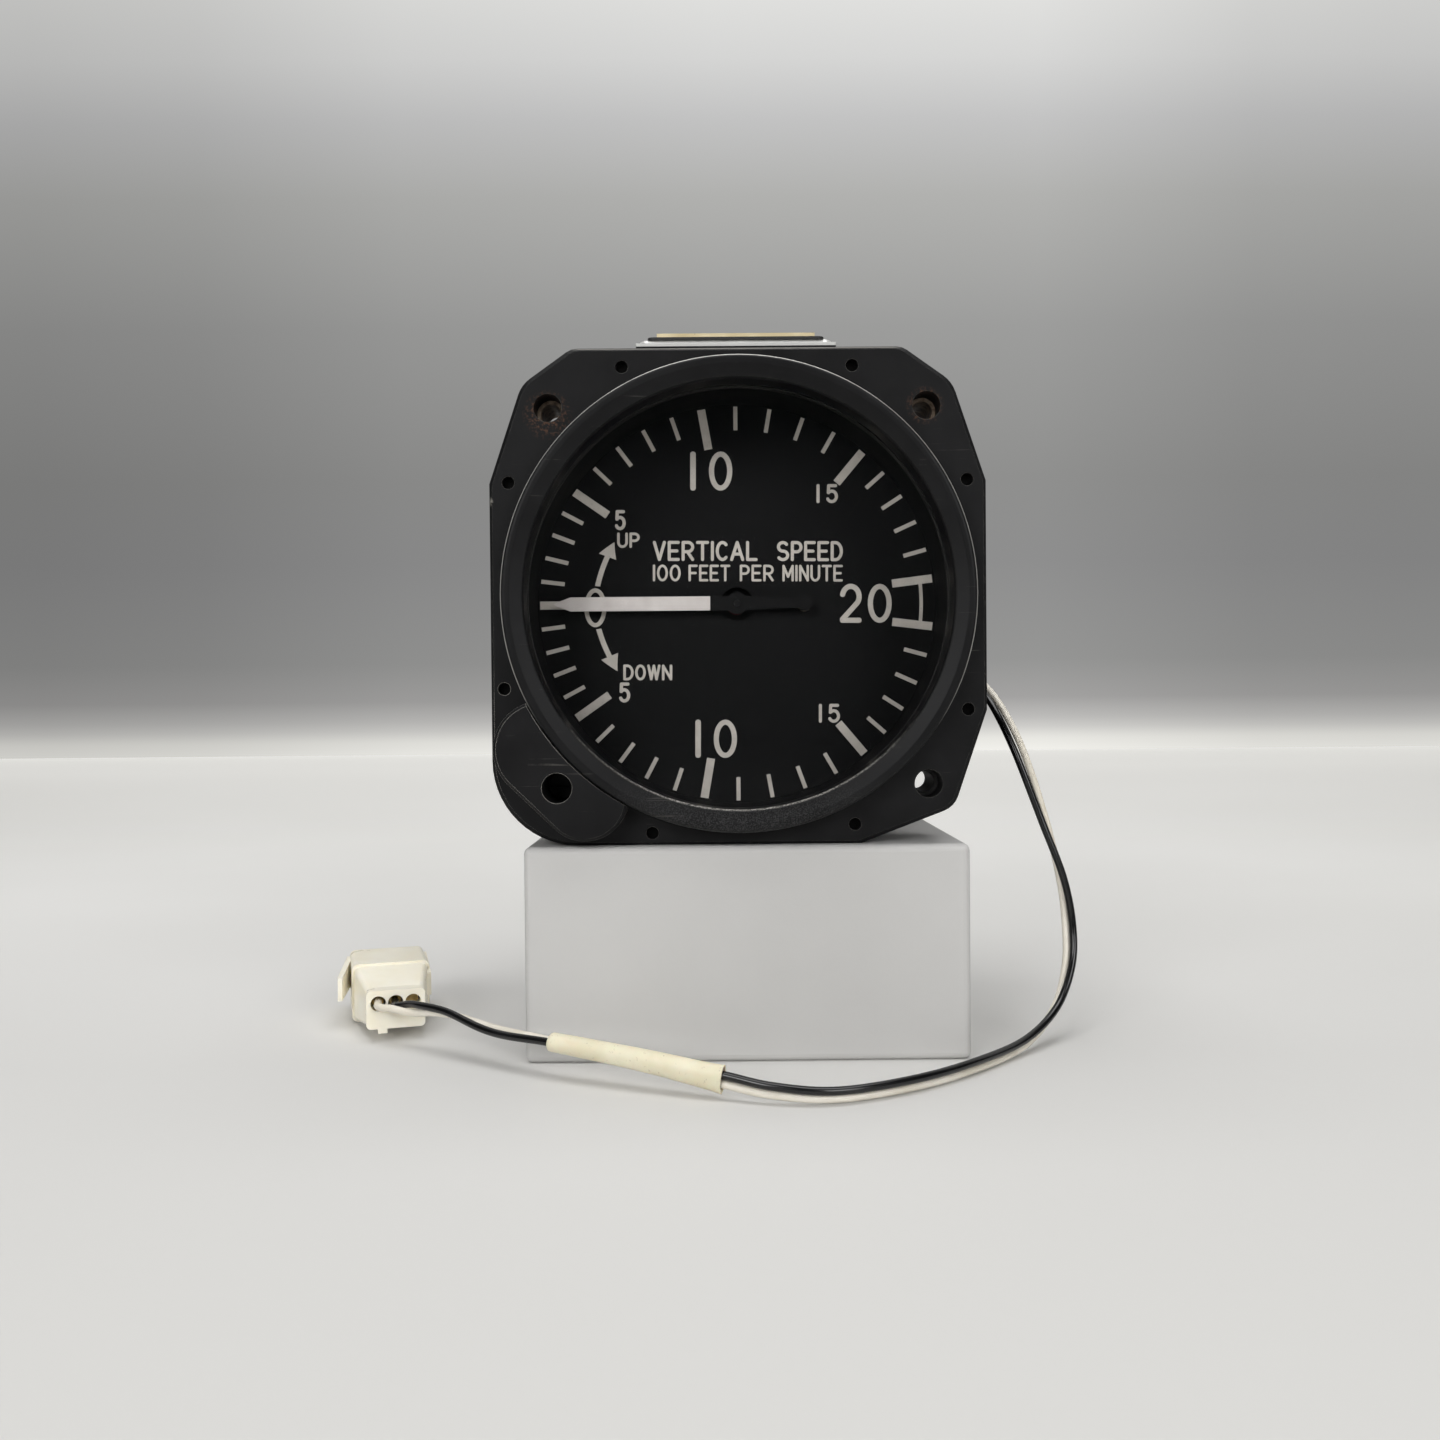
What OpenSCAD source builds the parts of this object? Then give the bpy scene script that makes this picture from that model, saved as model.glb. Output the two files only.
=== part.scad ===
// Vertical speed indicator for a 3-1/8 inch panel hole, mounted from behind the panel.
// Millimetres. Origin: centre of the flange's front face, on the dial axis.
// -Y faces the pilot, +X is to the right as the dial is read, +Z is up.

/* [Flange and mounting] */
// Width and height of the square flange
flange_w = 82.6; // [80:0.2:85]
// Thickness of the flange plate
plate_t = 5; // [4.4:0.1:6.5]
// Distance of the mounting holes' centres outside the round case
hole_clear = 5.05; // [4.9:0.01:5.6]
// Diameter of the mounting holes
mount_hole_d = 4.7; // [3.8:0.1:5.2]
// Diameter of the lug behind each mounting hole
lug_d = 10.6; // [9.6:0.1:11.4]
// Depth of the lugs behind the flange's front face
lug_depth = 15; // [12:0.5:18]
// Outside diameter of the nut inserts in the lugs
insert_d = 6.4; // [5.6:0.1:7]
// Thread bore of the nut inserts
insert_bore = 3.5; // [3:0.1:4]
// Diameter of the eight small tapped holes round the edge
tapped_d = 2.1; // [1.6:0.1:2.6]

/* [Zero adjuster boss] */
// Height of the petal boss above the flange face
petal_h = 4.6; // [3:0.1:4.8]
// Radius of the petal's two ends
petal_r = 7.6; // [7:0.1:8]
// Diameter of the access hole in the petal
access_d = 4.95; // [4.7:0.05:5.4]
// Diameter of the adjuster's shaft
adjuster_d = 3; // [2.4:0.1:3.4]

/* [Bezel ring and glass] */
// Distance of the bezel ring's outside from the flange's sides
ring_inset = 2.3; // [2:0.05:3]
// How far the ring stands in front of the flange face
ring_proud = 4.8; // [4.8:0.1:6]
// Width of the ring from its outside to its opening
ring_w = 3.8; // [3.6:0.05:4.6]
// Depth of the dish in the ring's front face
ring_dish = 0.7; // [0.3:0.1:1.2]
// How far the cover glass reaches behind the ring
glass_lap = 1.4; // [1.1:0.05:1.5]
// Thickness of the cover glass
glass_t = 2.5; // [2:0.1:2.8]
// Thickness of the gasket behind the glass
gasket_t = 0.8; // [0.5:0.1:1]
// Thickness of the slip washer in front of the glass
washer_t = 0.4; // [0.2:0.1:0.5]

/* [Case] */
// Distance of the round case from the flange's sides
case_inset = 1.9; // [1.7:0.05:2.4]
// Wall of the front of the case, where the dial stack sits
front_wall = 1.9; // [1.7:0.05:2.1]
// Wall of the case behind the movement
case_wall = 3.1; // [2.9:0.05:3.6]
// Thickness of the case's own flange
case_flange_t = 2.2; // [1.6:0.1:3]
// Length of the case behind its joint with the flange
case_len = 58.6; // [57:0.2:66]
// Thickness of the case gasket
joint_t = 0.4; // [0.3:0.1:0.6]
// Thickness of the rear cover
cover_t = 2.5; // [2:0.1:3.5]
// Width of the lamp bay on top of the case
bay_w = 34; // [32:0.5:38]
// Height of the bay's flat top above the flange's top edge
bay_rise = 2.2; // [1.8:0.1:3.6]
// Length of the lamp bay
bay_len = 30; // [28:0.5:36]
// Width of the label on the bay's cover
label_w = 27; // [22:0.2:30]
// Length of the label
label_len = 18.4; // [15:0.2:22]

/* [Dial stack] */
// Length of the clear light ring behind the flange
light_len = 6; // [5:0.2:7]
// Length of the black spacer between light ring and dial
spacer_len = 6; // [5:0.2:7]
// Wall of the light ring and the spacer, with their play
stack_wall = 1.8; // [1.4:0.05:2.2]
// Thickness of the dial plate
dial_t = 0.6; // [0.4:0.1:1]
// Length of the ring behind the dial
dial_ring_len = 3.4; // [3:0.1:4]
// Distance of the dial ticks from the spacer's bore
tick_inset = 0.4; // [0.3:0.05:1]
// Length of a long tick
long_tick_len = 7.2; // [6:0.1:8]
// Width of a long tick
long_tick_w = 1.45; // [1:0.05:2]
// Length of a short tick
short_tick_len = 4.2; // [3:0.1:5]
// Width of a short tick
short_tick_w = 0.72; // [0.4:0.02:1]

/* [Pointer] */
// Distance of the pointer's tip from the outer ends of the ticks
tip_inset = 2.7; // [1.4:0.1:4]
// Width of the pointer blade
pointer_w = 2.5; // [1.6:0.1:3]
// Distance of the tail disc from the dial centre
tail_len = 12; // [10:0.2:14]
// Diameter of the tail disc and of the counterweight behind it
tail_disc_d = 2.9; // [2.4:0.1:3.6]
// Gap from the dial to the pointer
pointer_gap = 2; // [1.8:0.1:2.6]
// Thickness of the pointer sheet
pointer_t = 0.25; // [0.2:0.05:0.4]

/* [Movement] */
// Thickness of the movement's two plates
frame_t = 1.5; // [1.2:0.1:1.8]
// Distance between the two plates
frame_gap = 11.5; // [11:0.1:13]
// Gear module of the pointer pinion and the sector
gear_module = 0.25; // [0.25:0.01:0.26]
// Thickness of the sector
sector_t = 1.2; // [0.8:0.1:1.6]
// Diameter of the pointer staff
staff_d = 1.2; // [1:0.1:1.4]
// Diameter of the sector and rocking shafts
shaft_d = 1.6; // [1.4:0.1:1.8]
// Length of the short lever on the sector shaft
short_lever = 4; // [4:0.1:4.4]
// Length of the long arm on the rocking shaft
drive_arm_len = 12; // [11.6:0.1:12.6]
// Radius of the capsule
capsule_r = 20; // [18:0.5:22]
// Thickness of the capsule
capsule_t = 6; // [5:0.1:6.4]
// Width across the flats of the static port fitting
port_hex = 14.3; // [12.7:0.1:16]
// Wall diameter of the port's thread
port_bore = 8.73; // [8.4:0.01:9]

/* [Lighting lead] */
// Outside diameter of each insulated wire
wire_d = 1.3; // [1.2:0.05:1.35]
// Wall of the printed sleeve
sleeve_wall = 0.35; // [0.25:0.05:0.4]
// Width of the plug's body
plug_w = 14.2; // [13:0.1:16]
// Height of the plug's body
plug_h = 10.8; // [9.6:0.1:10.8]
// Pitch of the plug's three cavities
plug_pitch = 3; // [2.9:0.1:3.4]

/* [Hidden] */
// Radial play of each shaft in its bearing
shaft_play = 0.03;
// Radial play of pieces that are pressed or screwed in place
seat_play = 0.02;
// Play of each pin or ball in its slot
slot_play = 0.1;

half_w = flange_w / 2;
ring_r = half_w - ring_inset;
opening_r = ring_r - ring_w;
glass_r = opening_r + glass_lap;
case_d = flange_w - 2 * case_inset;
hole_x = (case_d / 2 + hole_clear) * cos(45);
stack_bore = case_d - 2 * front_wall;
case_bore = case_d - 2 * case_wall;
stack_id = stack_bore - 2 * stack_wall;
ring_fillet = 0.8;
ring_rim = 0.7;
ring_seat = 0.3;
skirt_lap = 0.5;
shoulder_t = 0.8;
shoulder_y = plate_t - shoulder_t;
glass_back = shoulder_y - gasket_t;
glass_front = glass_back - glass_t;
skirt_back = glass_front - washer_t;
skirt_r = glass_r + skirt_lap;

// Tapped holes: the ones beside the petal are moved away from it
screw_head_d = 3.4;
edge_a = bay_w / 2 + screw_head_d / 2 + 0.4;
edge_b = half_w - 3.2;
tapped_at = [
    [-edge_a, edge_b], [edge_a, edge_b], [edge_b, edge_a], [edge_b, -edge_a],
    [edge_a, -edge_b], [-edge_b, edge_a], [26.6 - half_w, 2 - half_w], [2.2 - half_w, 26.2 - half_w]];
mount_at = [[-hole_x, hole_x], [hole_x, hole_x], [hole_x, -hole_x]];
petal_at = [[8.9 - half_w, 16.2 - half_w], [15.8 - half_w, 8.1 - half_w]];
petal_swell = [0.4, -0.6];
adjuster_at = [11.3 - half_w, 9.9 - half_w];
corner_r = 14.2;
edge_chamfer = 0.5;

// The case starts behind its gasket
case_y = plate_t + joint_t;
case_back = case_y + case_len;
ring_play = 0.15;

// The dial stack, front to back
light_y = plate_t;
spacer_y = light_y + light_len;
dial_y = spacer_y + spacer_len;
dial_ring_y = dial_y + dial_t;
front_plate_y = dial_ring_y + dial_ring_len;
step_y = front_plate_y + frame_t;
rear_plate_y = step_y + frame_gap;
pointer_y = dial_y - pointer_gap;
tick_r = stack_id / 2 - tick_inset;
pointer_len = tick_r - tip_inset;
dial_ring_wall = 4.5;

// Gears: twelve leaves on the pinion, ten times as many on the full sector wheel
pinion_teeth = 12;
sector_teeth = 120;
sector_kept = 18;
centre_distance = gear_module * (pinion_teeth + sector_teeth) / 2;
sector_y = step_y + 4.8;
pinion_len = sector_t + 1;
backlash = 0.04;
pressure_angle = 25;
tooth_top = 0.8;
tooth_root = 1.1;
lever_y = rear_plate_y + frame_t + 3;
lever_t = 1;
ball_d = 1;
rocker_y = lever_y + lever_t / 2 + drive_arm_len;
rocker_z = -centre_distance;
bracket_x = 12;
bracket_t = 1.2;

// Capsule and what carries it
cover_y = case_back + joint_t;
base_t = 1.1;
capsule_back = case_back - 2.6;
capsule_front = capsule_back - capsule_t;
stem_d = 2;
eye_w = 3.2;
eye_h = 4;
eye_t = 1.4;
pin_d = 1;
port_len = 9.6;
port_depth = 8;
port_shank_d = 8;

// Zero adjuster train inside the lower left corner
lobe_r = 7;
lobe_wall = 1.6;
lobe_back = step_y + 6.5;
zero_module = 0.5;
zero_teeth = 10;
zero_wheel_teeth = 40;
zero_kept = 6;
zero_distance = zero_module * (zero_teeth + zero_wheel_teeth) / 2;
zero_dir = -adjuster_at / norm(adjuster_at);
zero_pivot = adjuster_at + zero_dir * zero_distance;
zero_y = step_y + 1.6;
zero_t = 1.5;
adjuster_head_y = plate_t - 2;
bush_d = access_d + 0.5;
bush_back = case_y + lobe_wall + 4;

// Lamp bay
bay_top = half_w + bay_rise;
bay_floor = case_d / 2 - 9.4;
bay_wall = 2;
lamp_x = [-bay_w / 4 - 0.5, 0, bay_w / 4 + 0.5];
lamp_d = 3.1;
lamp_len = 5;
socket_d = 3.7;
bay_y = case_y + case_flange_t;
lamp_z = bay_top - 2.3;
lamp_y = bay_y + 2;
bay_cover_t = 1;
tape_t = 0.4;
tape_over = 1.6;
label_t = 0.6;

// Where the two-wire lead comes out of the rear cover
lead_at = [case_bore / 2 - 14.3, 2];
grommet_lip = 1.5;
lead_start = cover_y + cover_t + grommet_lip;

// The lead's route: centre of the pair, then from there to the black wire's centre.
// The white wire lies as far on the other side.
route = [
    [[lead_at[0], lead_start, lead_at[1]], [-0.7, 0, 0]],
    [[lead_at[0], lead_start + 3.6, lead_at[1]], [-0.7, 0, 0]],
    [[half_w - 12.3, lead_start + 10.6, -1], [-0.5, -0.5, 0]],
    [[half_w - 5.3, lead_start + 8.6, -4], [-0.5, -0.5, 0]],
    [[half_w + 0.7, lead_start + 0.6, -7], [-0.7, 0, 0]],
    [[half_w + 3.7, 55, -10], [-0.7, 0, 0]],
    [[half_w + 4.7, 35, -13.5], [-0.7, 0, 0]],
    [[half_w + 5.4, 23, -18], [-0.7, 0, 0]],
    [[half_w + 7.7, 18, -26.5], [-0.7, 0, -0.2]],
    [[53.4, 17, -39], [-0.5, -0.5, 0]],
    [[57.4, 16, -50], [0.2, -0.7, 0]],
    [[59.5, 15, -58.6], [0.5, -0.5, 0]],
    [[58.6, 13, -65.3], [0.4, -0.5, 0.2]],
    [[54.5, 9.5, -71], [0.1, -0.6, 0.3]],
    [[47, 2, -74.7], [0, -0.4, 0.6]],
    [[35, -9, -75.5], [0, 0, 0.7]],
    [[24, -18.5, -75.5], [0, 0, 0.7]],
    [[13, -24, -75.3], [0, 0, 0.7]],
    [[4, -24, -74.6], [0, 0, 0.7]],
    [[-3.4, -22, -73.8], [0, 0, 0.7]],
    [[-15.6, -17, -72.8], [0, 0, 0.7]],
    [[-30.4, -10, -72], [0, 0, 0.7]],
    [[-40.8, -3, -71.4], [0, -0.2, 0.7]],
    [[-50.4, 4, -70.4], [0.2, -0.4, 0.5]],
    [[-58, 9, -70.5], [0.7, -0.1, 0.3]],
    [[-62.1, 11.6, -70.6], [1.3, 0.4, 0]],
    [[-62.9, 14, -70.5], [1.43, 0.45, 0]],
    [[-63.5, 16, -70.5], [1.43, 0.45, 0]]];
sleeve_first = 21;
sleeve_last = 19;

plug_at = [-61.3, 14, -71.6];
plug_yaw = 17.4;
nose_w = 10.2;
nose_h = 6.8;
nose_len = 3;
taper_end = 15;
ear_y = 12;
ear_out = [2.2, -0.3];
plug_len = 30;
plug_wall = 1.3;
cavity_d = 2.7;
cavity_z = 1.1;
cavity_len = 12;
cavity_x = [-plug_pitch, 0, plug_pitch];

// An outline in the panel's plane, standing from y0 back to y1
module slab(y0, y1) translate([0, y1, 0]) rotate([90, 0, 0]) linear_extrude(y1 - y0) children();

// A round rod along the dial axis at p, from y0 back to y1
module rod(p, d, y0, y1) translate([p[0], y1, p[1]]) rotate([90, 0, 0])
    cylinder(d = d, h = y1 - y0, $fn = 48);

// A tube along the dial axis
module tube(p, d, bore, y0, y1) difference() {
    rod(p, d, y0, y1);
    rod(p, bore, y0 - 1, y1 + 1);
}

// A turned piece about the dial axis from points of radius and y
module turned(points) rotate([90, 0, 0])
    rotate_extrude($fn = 120) polygon([for (p = points) [p[0], -p[1]]]);

// Points of an arc about c
function arc(c, r, a0, a1, n) =
    [for (i = [0:n]) let (a = a0 + (a1 - a0) * i / n) c + r * [cos(a), sin(a)]];

// A corner v between a and b, going clockwise, rounded to radius r
function rounded(a, v, b, r, n) = let (
    p = (a - v) / norm(a - v), q = (b - v) / norm(b - v), half = acos(p * q) / 2,
    c = v + (p + q) / norm(p + q) * r / sin(half), s = v + p * r / tan(half) - c,
    a0 = atan2(s[1], s[0]))
    arc(c, r, a0, a0 - 180 + 2 * half, n);

// The flange's outline: three blunt corners of two slants each, and one large round corner
function flange_points(w) = let (
    l = [-w, w - 22.3], tl = [5.5 - w, w - 5.9], t1 = [13.8 - w, w], t2 = [w - 13.8, w],
    tr = [w - 5.5, w - 5.9], r1 = [w, w - 22.3], r2 = [w, 22.1 - w], br = [w - 5.5, 5.9 - w],
    b = [w - 21.1, -w], q = -w + corner_r)
    concat([[-w, q]], [l], rounded(l, tl, t1, 5.5, 4), rounded(tl, t1, t2, 3, 2),
        rounded(t1, t2, tr, 3, 2), rounded(t2, tr, r1, 5.5, 4), [r1], [r2],
        rounded(r2, br, b, 4, 4), [b], arc([q, q], corner_r, 270, 180, 14));

module petal_outline(r) hull() for (i = [0, 1])
    translate(petal_at[i]) circle(r + petal_swell[i], $fn = 48);

// Involute flank and a whole toothed outline
function involute(base, t) = base * [cos(t) + t * PI / 180 * sin(t), sin(t) - t * PI / 180 * cos(t)];
function flank_angle(base, r) = r <= base ? 0 : sqrt(pow(r / base, 2) - 1) * 180 / PI - acos(base / r);
function tooth_side(m, n, r) = let (pitch = m * n / 2, base = pitch * cos(pressure_angle))
    90 / n - backlash / 2 / pitch * 180 / PI + flank_angle(base, pitch) - flank_angle(base, r);
function tooth_points(m, n, a) = let (
    pitch = m * n / 2, root = pitch - tooth_root * m, top = pitch + tooth_top * m,
    steps = [root, max(root, pitch * cos(pressure_angle)), pitch, top])
    concat(
        [for (r = steps) r * [cos(a - tooth_side(m, n, r)), sin(a - tooth_side(m, n, r))]],
        [for (i = [3:-1:0]) let (r = steps[i])
            r * [cos(a + tooth_side(m, n, r)), sin(a + tooth_side(m, n, r))]]);

// A whole pinion, with the middle of a gap at angle a
module pinion_outline(m, n, a) polygon(
    [for (i = [0:n - 1]) each tooth_points(m, n, a + 180 / n + i * 360 / n)]);

// A pie of some teeth of a wheel, the middle tooth at angle a
module sector_outline(m, n, kept, a) polygon(concat([[0, 0]],
    [for (i = [-kept / 2:kept / 2]) each tooth_points(m, n, a + i * 360 / n)]));

module bezel_flange() color("#1c1c1e") difference() {
    union() {
        hull() {
            slab(edge_chamfer, plate_t) polygon(flange_points(half_w));
            slab(0, plate_t) polygon(flange_points(half_w - edge_chamfer));
        }
        intersection() {
            hull() {
                slab(edge_chamfer - petal_h, 1) petal_outline(petal_r);
                slab(-petal_h, 1) petal_outline(petal_r - edge_chamfer);
            }
            slab(-petal_h - 1, 1) polygon(flange_points(half_w - 0.2));
        }
        intersection() {
            for (p = mount_at) rod(p, lug_d, plate_t - 1, lug_depth);
            slab(plate_t - 1, lug_depth) polygon(flange_points(half_w - 0.2));
        }
    }
    slab(-petal_h - 1, ring_seat) circle(ring_r + ring_play, $fn = 120);
    slab(-1, shoulder_y) circle(skirt_r + ring_play, $fn = 120);
    slab(-1, plate_t + 1) circle(opening_r + 0.4, $fn = 120);
    slab(plate_t, lug_depth + 1) circle(case_d / 2 + ring_play, $fn = 120);
    for (p = mount_at) {
        rod(p, mount_hole_d, -1, plate_t + 1);
        rod(p, insert_d, plate_t, lug_depth + 1);
    }
    for (p = tapped_at) rod(p, tapped_d, -1, plate_t + 1);
    rod(adjuster_at, access_d, -petal_h - 1, plate_t + 1);
}

module lug_inserts() color("#6b4a35") for (p = mount_at)
    tube(p, insert_d - 2 * seat_play, insert_bore, plate_t, lug_depth);

module bezel_ring() color("#1f1f21") turned(concat(
    [[opening_r, skirt_back], [skirt_r, skirt_back], [skirt_r, ring_seat], [ring_r, ring_seat]],
    arc([ring_r - ring_fillet, -ring_proud + ring_fillet], ring_fillet, 0, -90, 4),
    [[ring_r - ring_fillet - ring_rim, -ring_proud],
     [opening_r + 0.3, -ring_proud + ring_dish],
     [opening_r, -ring_proud + ring_dish + 0.4]]));

module slip_washer() color("#e8e4d8") tube([0, 0], 2 * skirt_r, 2 * opening_r + 1, skirt_back, glass_front);

module cover_glass() color([0.8, 0.88, 0.9, 0.3]) rod([0, 0], 2 * glass_r, glass_front, glass_back);

module glass_gasket() color("#2a2a2a") tube([0, 0], 2 * glass_r, 2 * opening_r + 1, glass_back, shoulder_y);

// Outline shared by the case's flange and its gasket: notched round the lugs
module joint_outline(bore) difference() {
    intersection() {
        circle(half_w + 4.2, $fn = 96);
        polygon(flange_points(half_w - 0.6));
    }
    circle(d = bore, $fn = 120);
    for (p = mount_at) translate(p) circle(lug_d / 2 + 0.4, $fn = 48);
    for (p = tapped_at) translate(p) circle(d = tapped_d + 0.3, $fn = 24);
    translate(adjuster_at) circle(d = bush_d + 2 * seat_play, $fn = 24);
}

module case_gasket() color("#3a3a3a") slab(plate_t, case_y) joint_outline(stack_bore);

module case_body() color("#202124") difference() {
    union() {
        rod([0, 0], case_d, case_y, case_back);
        slab(case_y, case_y + case_flange_t) joint_outline(stack_bore);
        slab(case_y, lobe_back) petal_outline(lobe_r);
        translate([-bay_w / 2, case_y, bay_floor]) cube([bay_w, bay_len + case_flange_t, bay_top - bay_floor]);
    }
    rod([0, 0], stack_bore, case_y - 1, step_y);
    rod([0, 0], case_bore, step_y - 1, case_back + 1);
    slab(bush_back, lobe_back - lobe_wall) petal_outline(lobe_r - lobe_wall);
    slab(step_y, lobe_back - lobe_wall) hull() {
        translate(zero_pivot) circle(7, $fn = 48);
        translate(adjuster_at - zero_dir * 0.4) circle(4.6, $fn = 48);
    }
    rod(adjuster_at, bush_d + 2 * seat_play, case_y - 1, bush_back + 1);
    translate([bay_wall - bay_w / 2, bay_y, lamp_z - 2])
        cube([bay_w - 2 * bay_wall, bay_len - 4, bay_top]);
    translate([bay_wall + 1 - bay_w / 2, bay_y, bay_floor]) cube([bay_w - 2 * bay_wall - 2, 3.4, bay_top]);
    for (p = tapped_at) rod(p, tapped_d + 0.3, case_y - 1, case_y + case_flange_t + 1);
    for (p = cover_screw_at) rod(p, cover_screw_d + 2 * seat_play, case_back - 7, case_back + 1);
    for (p = mount_at) rod(p, lug_d + 0.8, case_y - 1, lug_depth + 1);
}

cover_screw_d = 1.6;
cover_screw_at = [for (a = [30:60:330]) (case_d + case_bore) / 4 * [cos(a), sin(a)]];

// A pan-head screw along the dial axis with its head at the back and a cross slot
module rear_screw(p, d, y0, y1, head_d, head_t) difference() {
    union() {
        rod(p, d, y0, y1 + 0.1);
        rod(p, head_d, y1, y1 + head_t);
    }
    translate([p[0] - head_d, y1 + head_t * 0.5, p[1] - 0.3]) cube([2 * head_d, head_t, 0.6]);
}

module case_screws() color("#2b2b2d") for (p = tapped_at)
    rear_screw(p, tapped_d - 2 * seat_play, 1.4, case_y + case_flange_t, screw_head_d, 1.3);

module light_ring() color([0.9, 0.9, 0.85, 0.5])
    tube([0, 0], stack_bore - 2 * ring_play, stack_id, light_y, spacer_y);

module lamps() color([1, 0.9, 0.7, 0.6]) for (x = lamp_x) {
    rod([x, lamp_z], lamp_d, lamp_y, lamp_y + lamp_len);
    translate([x, lamp_y, lamp_z]) sphere(d = lamp_d, $fn = 32);
}

module lamp_sockets() color("#b9bcc0") for (x = lamp_x)
    rod([x, lamp_z], socket_d, lamp_y + lamp_len, lamp_y + lamp_len + 6);

module bay_cover() color("#c9c9c6") translate([0, bay_y + bay_len / 2 - 0.6, bay_top])
    linear_extrude(bay_cover_t) offset(1.5, $fn = 32) square([bay_w - 4, bay_len - 4], center = true);

module label_tape() color("#141414") translate([0, case_y + 1.4 + label_len / 2, bay_top + bay_cover_t])
    linear_extrude(tape_t) offset(1, $fn = 24)
        square([label_w + 2 * tape_over - 2, label_len - 2], center = true);

module gold_label() color("#b08d4a") translate([-label_w / 2, case_y + 1.4, bay_top + bay_cover_t + tape_t])
    cube([label_w, label_len, label_t]);

module dial_spacer() color("#161617")
    tube([0, 0], stack_bore - 2 * ring_play, stack_id, spacer_y, dial_y);

module dial_plate() color("#121214") tube([0, 0], stack_bore - 2 * ring_play, 6, dial_y, dial_ring_y);

// Angle of each mark from the zero at nine o'clock, in hundreds of feet per minute
function mark_angle(v) = v <= 5 ? 7 * v : v <= 10 ? 35 + 9 * (v - 5)
    : v <= 15 ? 80 + 10 * (v - 10) : 130 + 8.6 * (v - 15);
// The line that joins the two marks of full scale
link_a = 180 - mark_angle(20);
link_w = 0.6;
link_r = tick_r - 1.9;
module tick(v, side) let (long = v % 5 == 0,
    len = long ? long_tick_len : short_tick_len, w = long ? long_tick_w : short_tick_w)
    rotate(180 - side * mark_angle(v)) translate([tick_r - len, -w / 2]) square([len, w]);

module dial_ticks() color("#a9a49c") slab(dial_y - 0.1, dial_y) {
    for (side = [-1, 1], v = [1:20]) tick(v, side);
    tick(0, 1);
    polygon(concat(arc([0, 0], link_r, -link_a, link_a, 6), arc([0, 0], link_r - link_w, link_a, -link_a, 6)));
}

module dial_ring() color("#3b3b3d")
    tube([0, 0], stack_bore - 2 * ring_play, stack_bore - 2 * dial_ring_wall, dial_ring_y, front_plate_y);

module pointer() color("#e6e1dc") slab(pointer_y - pointer_t, pointer_y) difference() {
    union() {
        polygon([[-pointer_len, 0], [-pointer_len + 0.4, -0.3], [-pointer_len + 3, -pointer_w / 2],
            [0, -pointer_w / 2], [tail_len, -0.8], [tail_len, 0.8], [0, pointer_w / 2],
            [-pointer_len + 3, pointer_w / 2], [-pointer_len + 0.4, 0.3]]);
        circle(d = 3.9, $fn = 48);
        translate([tail_len, 0]) circle(d = tail_disc_d, $fn = 48);
    }
    circle(d = staff_d + 2 * seat_play, $fn = 24);
}

module pointer_hub() color("#b08a3c") tube([0, 0], 2.8, staff_d + 2 * seat_play, pointer_y, pointer_y + 1.2);

module counterweight() color("#8b6b2e") rod([tail_len, 0], tail_disc_d, pointer_y, pointer_y + 1.1);

module pointer_staff() color("#9a9ca0")
    rod([0, 0], staff_d, pointer_y - 0.6, rear_plate_y + frame_t - 0.3);

module pinion() color("#c2a04c") slab(sector_y - 0.5, sector_y - 0.5 + pinion_len) difference() {
    pinion_outline(gear_module, pinion_teeth, -90);
    circle(d = staff_d + 2 * seat_play, $fn = 24);
}

// Pillars: how far inside the case's bore, and the angle
pillar_inset = [[13.3, 145.6], [13.3, 34.4], [4.9, -52.77], [5.84, -113.2]];
pillar_at = [for (p = pillar_inset) (case_bore / 2 - p[0]) * [cos(p[1]), sin(p[1])]];
pillar_d = 4;
bearing_at = [[0, 0], [0, -centre_distance]];
jewel_d = 3.4;

module front_plate() color("#b89a4e") slab(front_plate_y, step_y) difference() {
    circle(d = stack_bore - 2 * ring_play, $fn = 120);
    for (p = bearing_at) translate(p) circle(d = jewel_d + 2 * seat_play, $fn = 32);
    for (p = pillar_at) translate(p) circle(d = 1.8, $fn = 24);
    translate(zero_pivot) circle(d = 2 + 2 * seat_play, $fn = 24);
    for (a = [40, 140]) rotate(a) translate([25, 0]) circle(6, $fn = 48);
}

module rear_plate() color("#b89a4e") slab(rear_plate_y, rear_plate_y + frame_t) difference() {
    hull() for (p = pillar_at) translate(p) circle(4, $fn = 32);
    for (p = bearing_at) translate(p) circle(d = jewel_d + 2 * seat_play, $fn = 32);
    for (p = pillar_at) translate(p) circle(d = 1.8, $fn = 24);
    for (x = [-1, 1]) translate([x * bracket_hole_x, rocker_z]) circle(d = 1.8, $fn = 24);
}

module pillars() color("#c9b06a") for (p = pillar_at)
    tube(p, pillar_d, 1.8, step_y, rear_plate_y);

// Screws of the movement: into the pillars from both ends, and through the bracket
module plate_screws() color("#8f9298") {
    for (p = pillar_at) rear_screw(p, 1.6, rear_plate_y - 3, rear_plate_y + frame_t, 3, 1);
    for (x = [-1, 1]) rear_screw([x * bracket_hole_x, rocker_z], 1.6, rear_plate_y + 0.2,
        rear_plate_y + frame_t + bracket_t, 3, 1);
}

module jewel_bearings() color("#8e2b35") for (p = bearing_at, y = [front_plate_y, rear_plate_y])
    tube(p, jewel_d, (p == bearing_at[0] ? staff_d : shaft_d) + 2 * shaft_play, y, y + frame_t);

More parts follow.
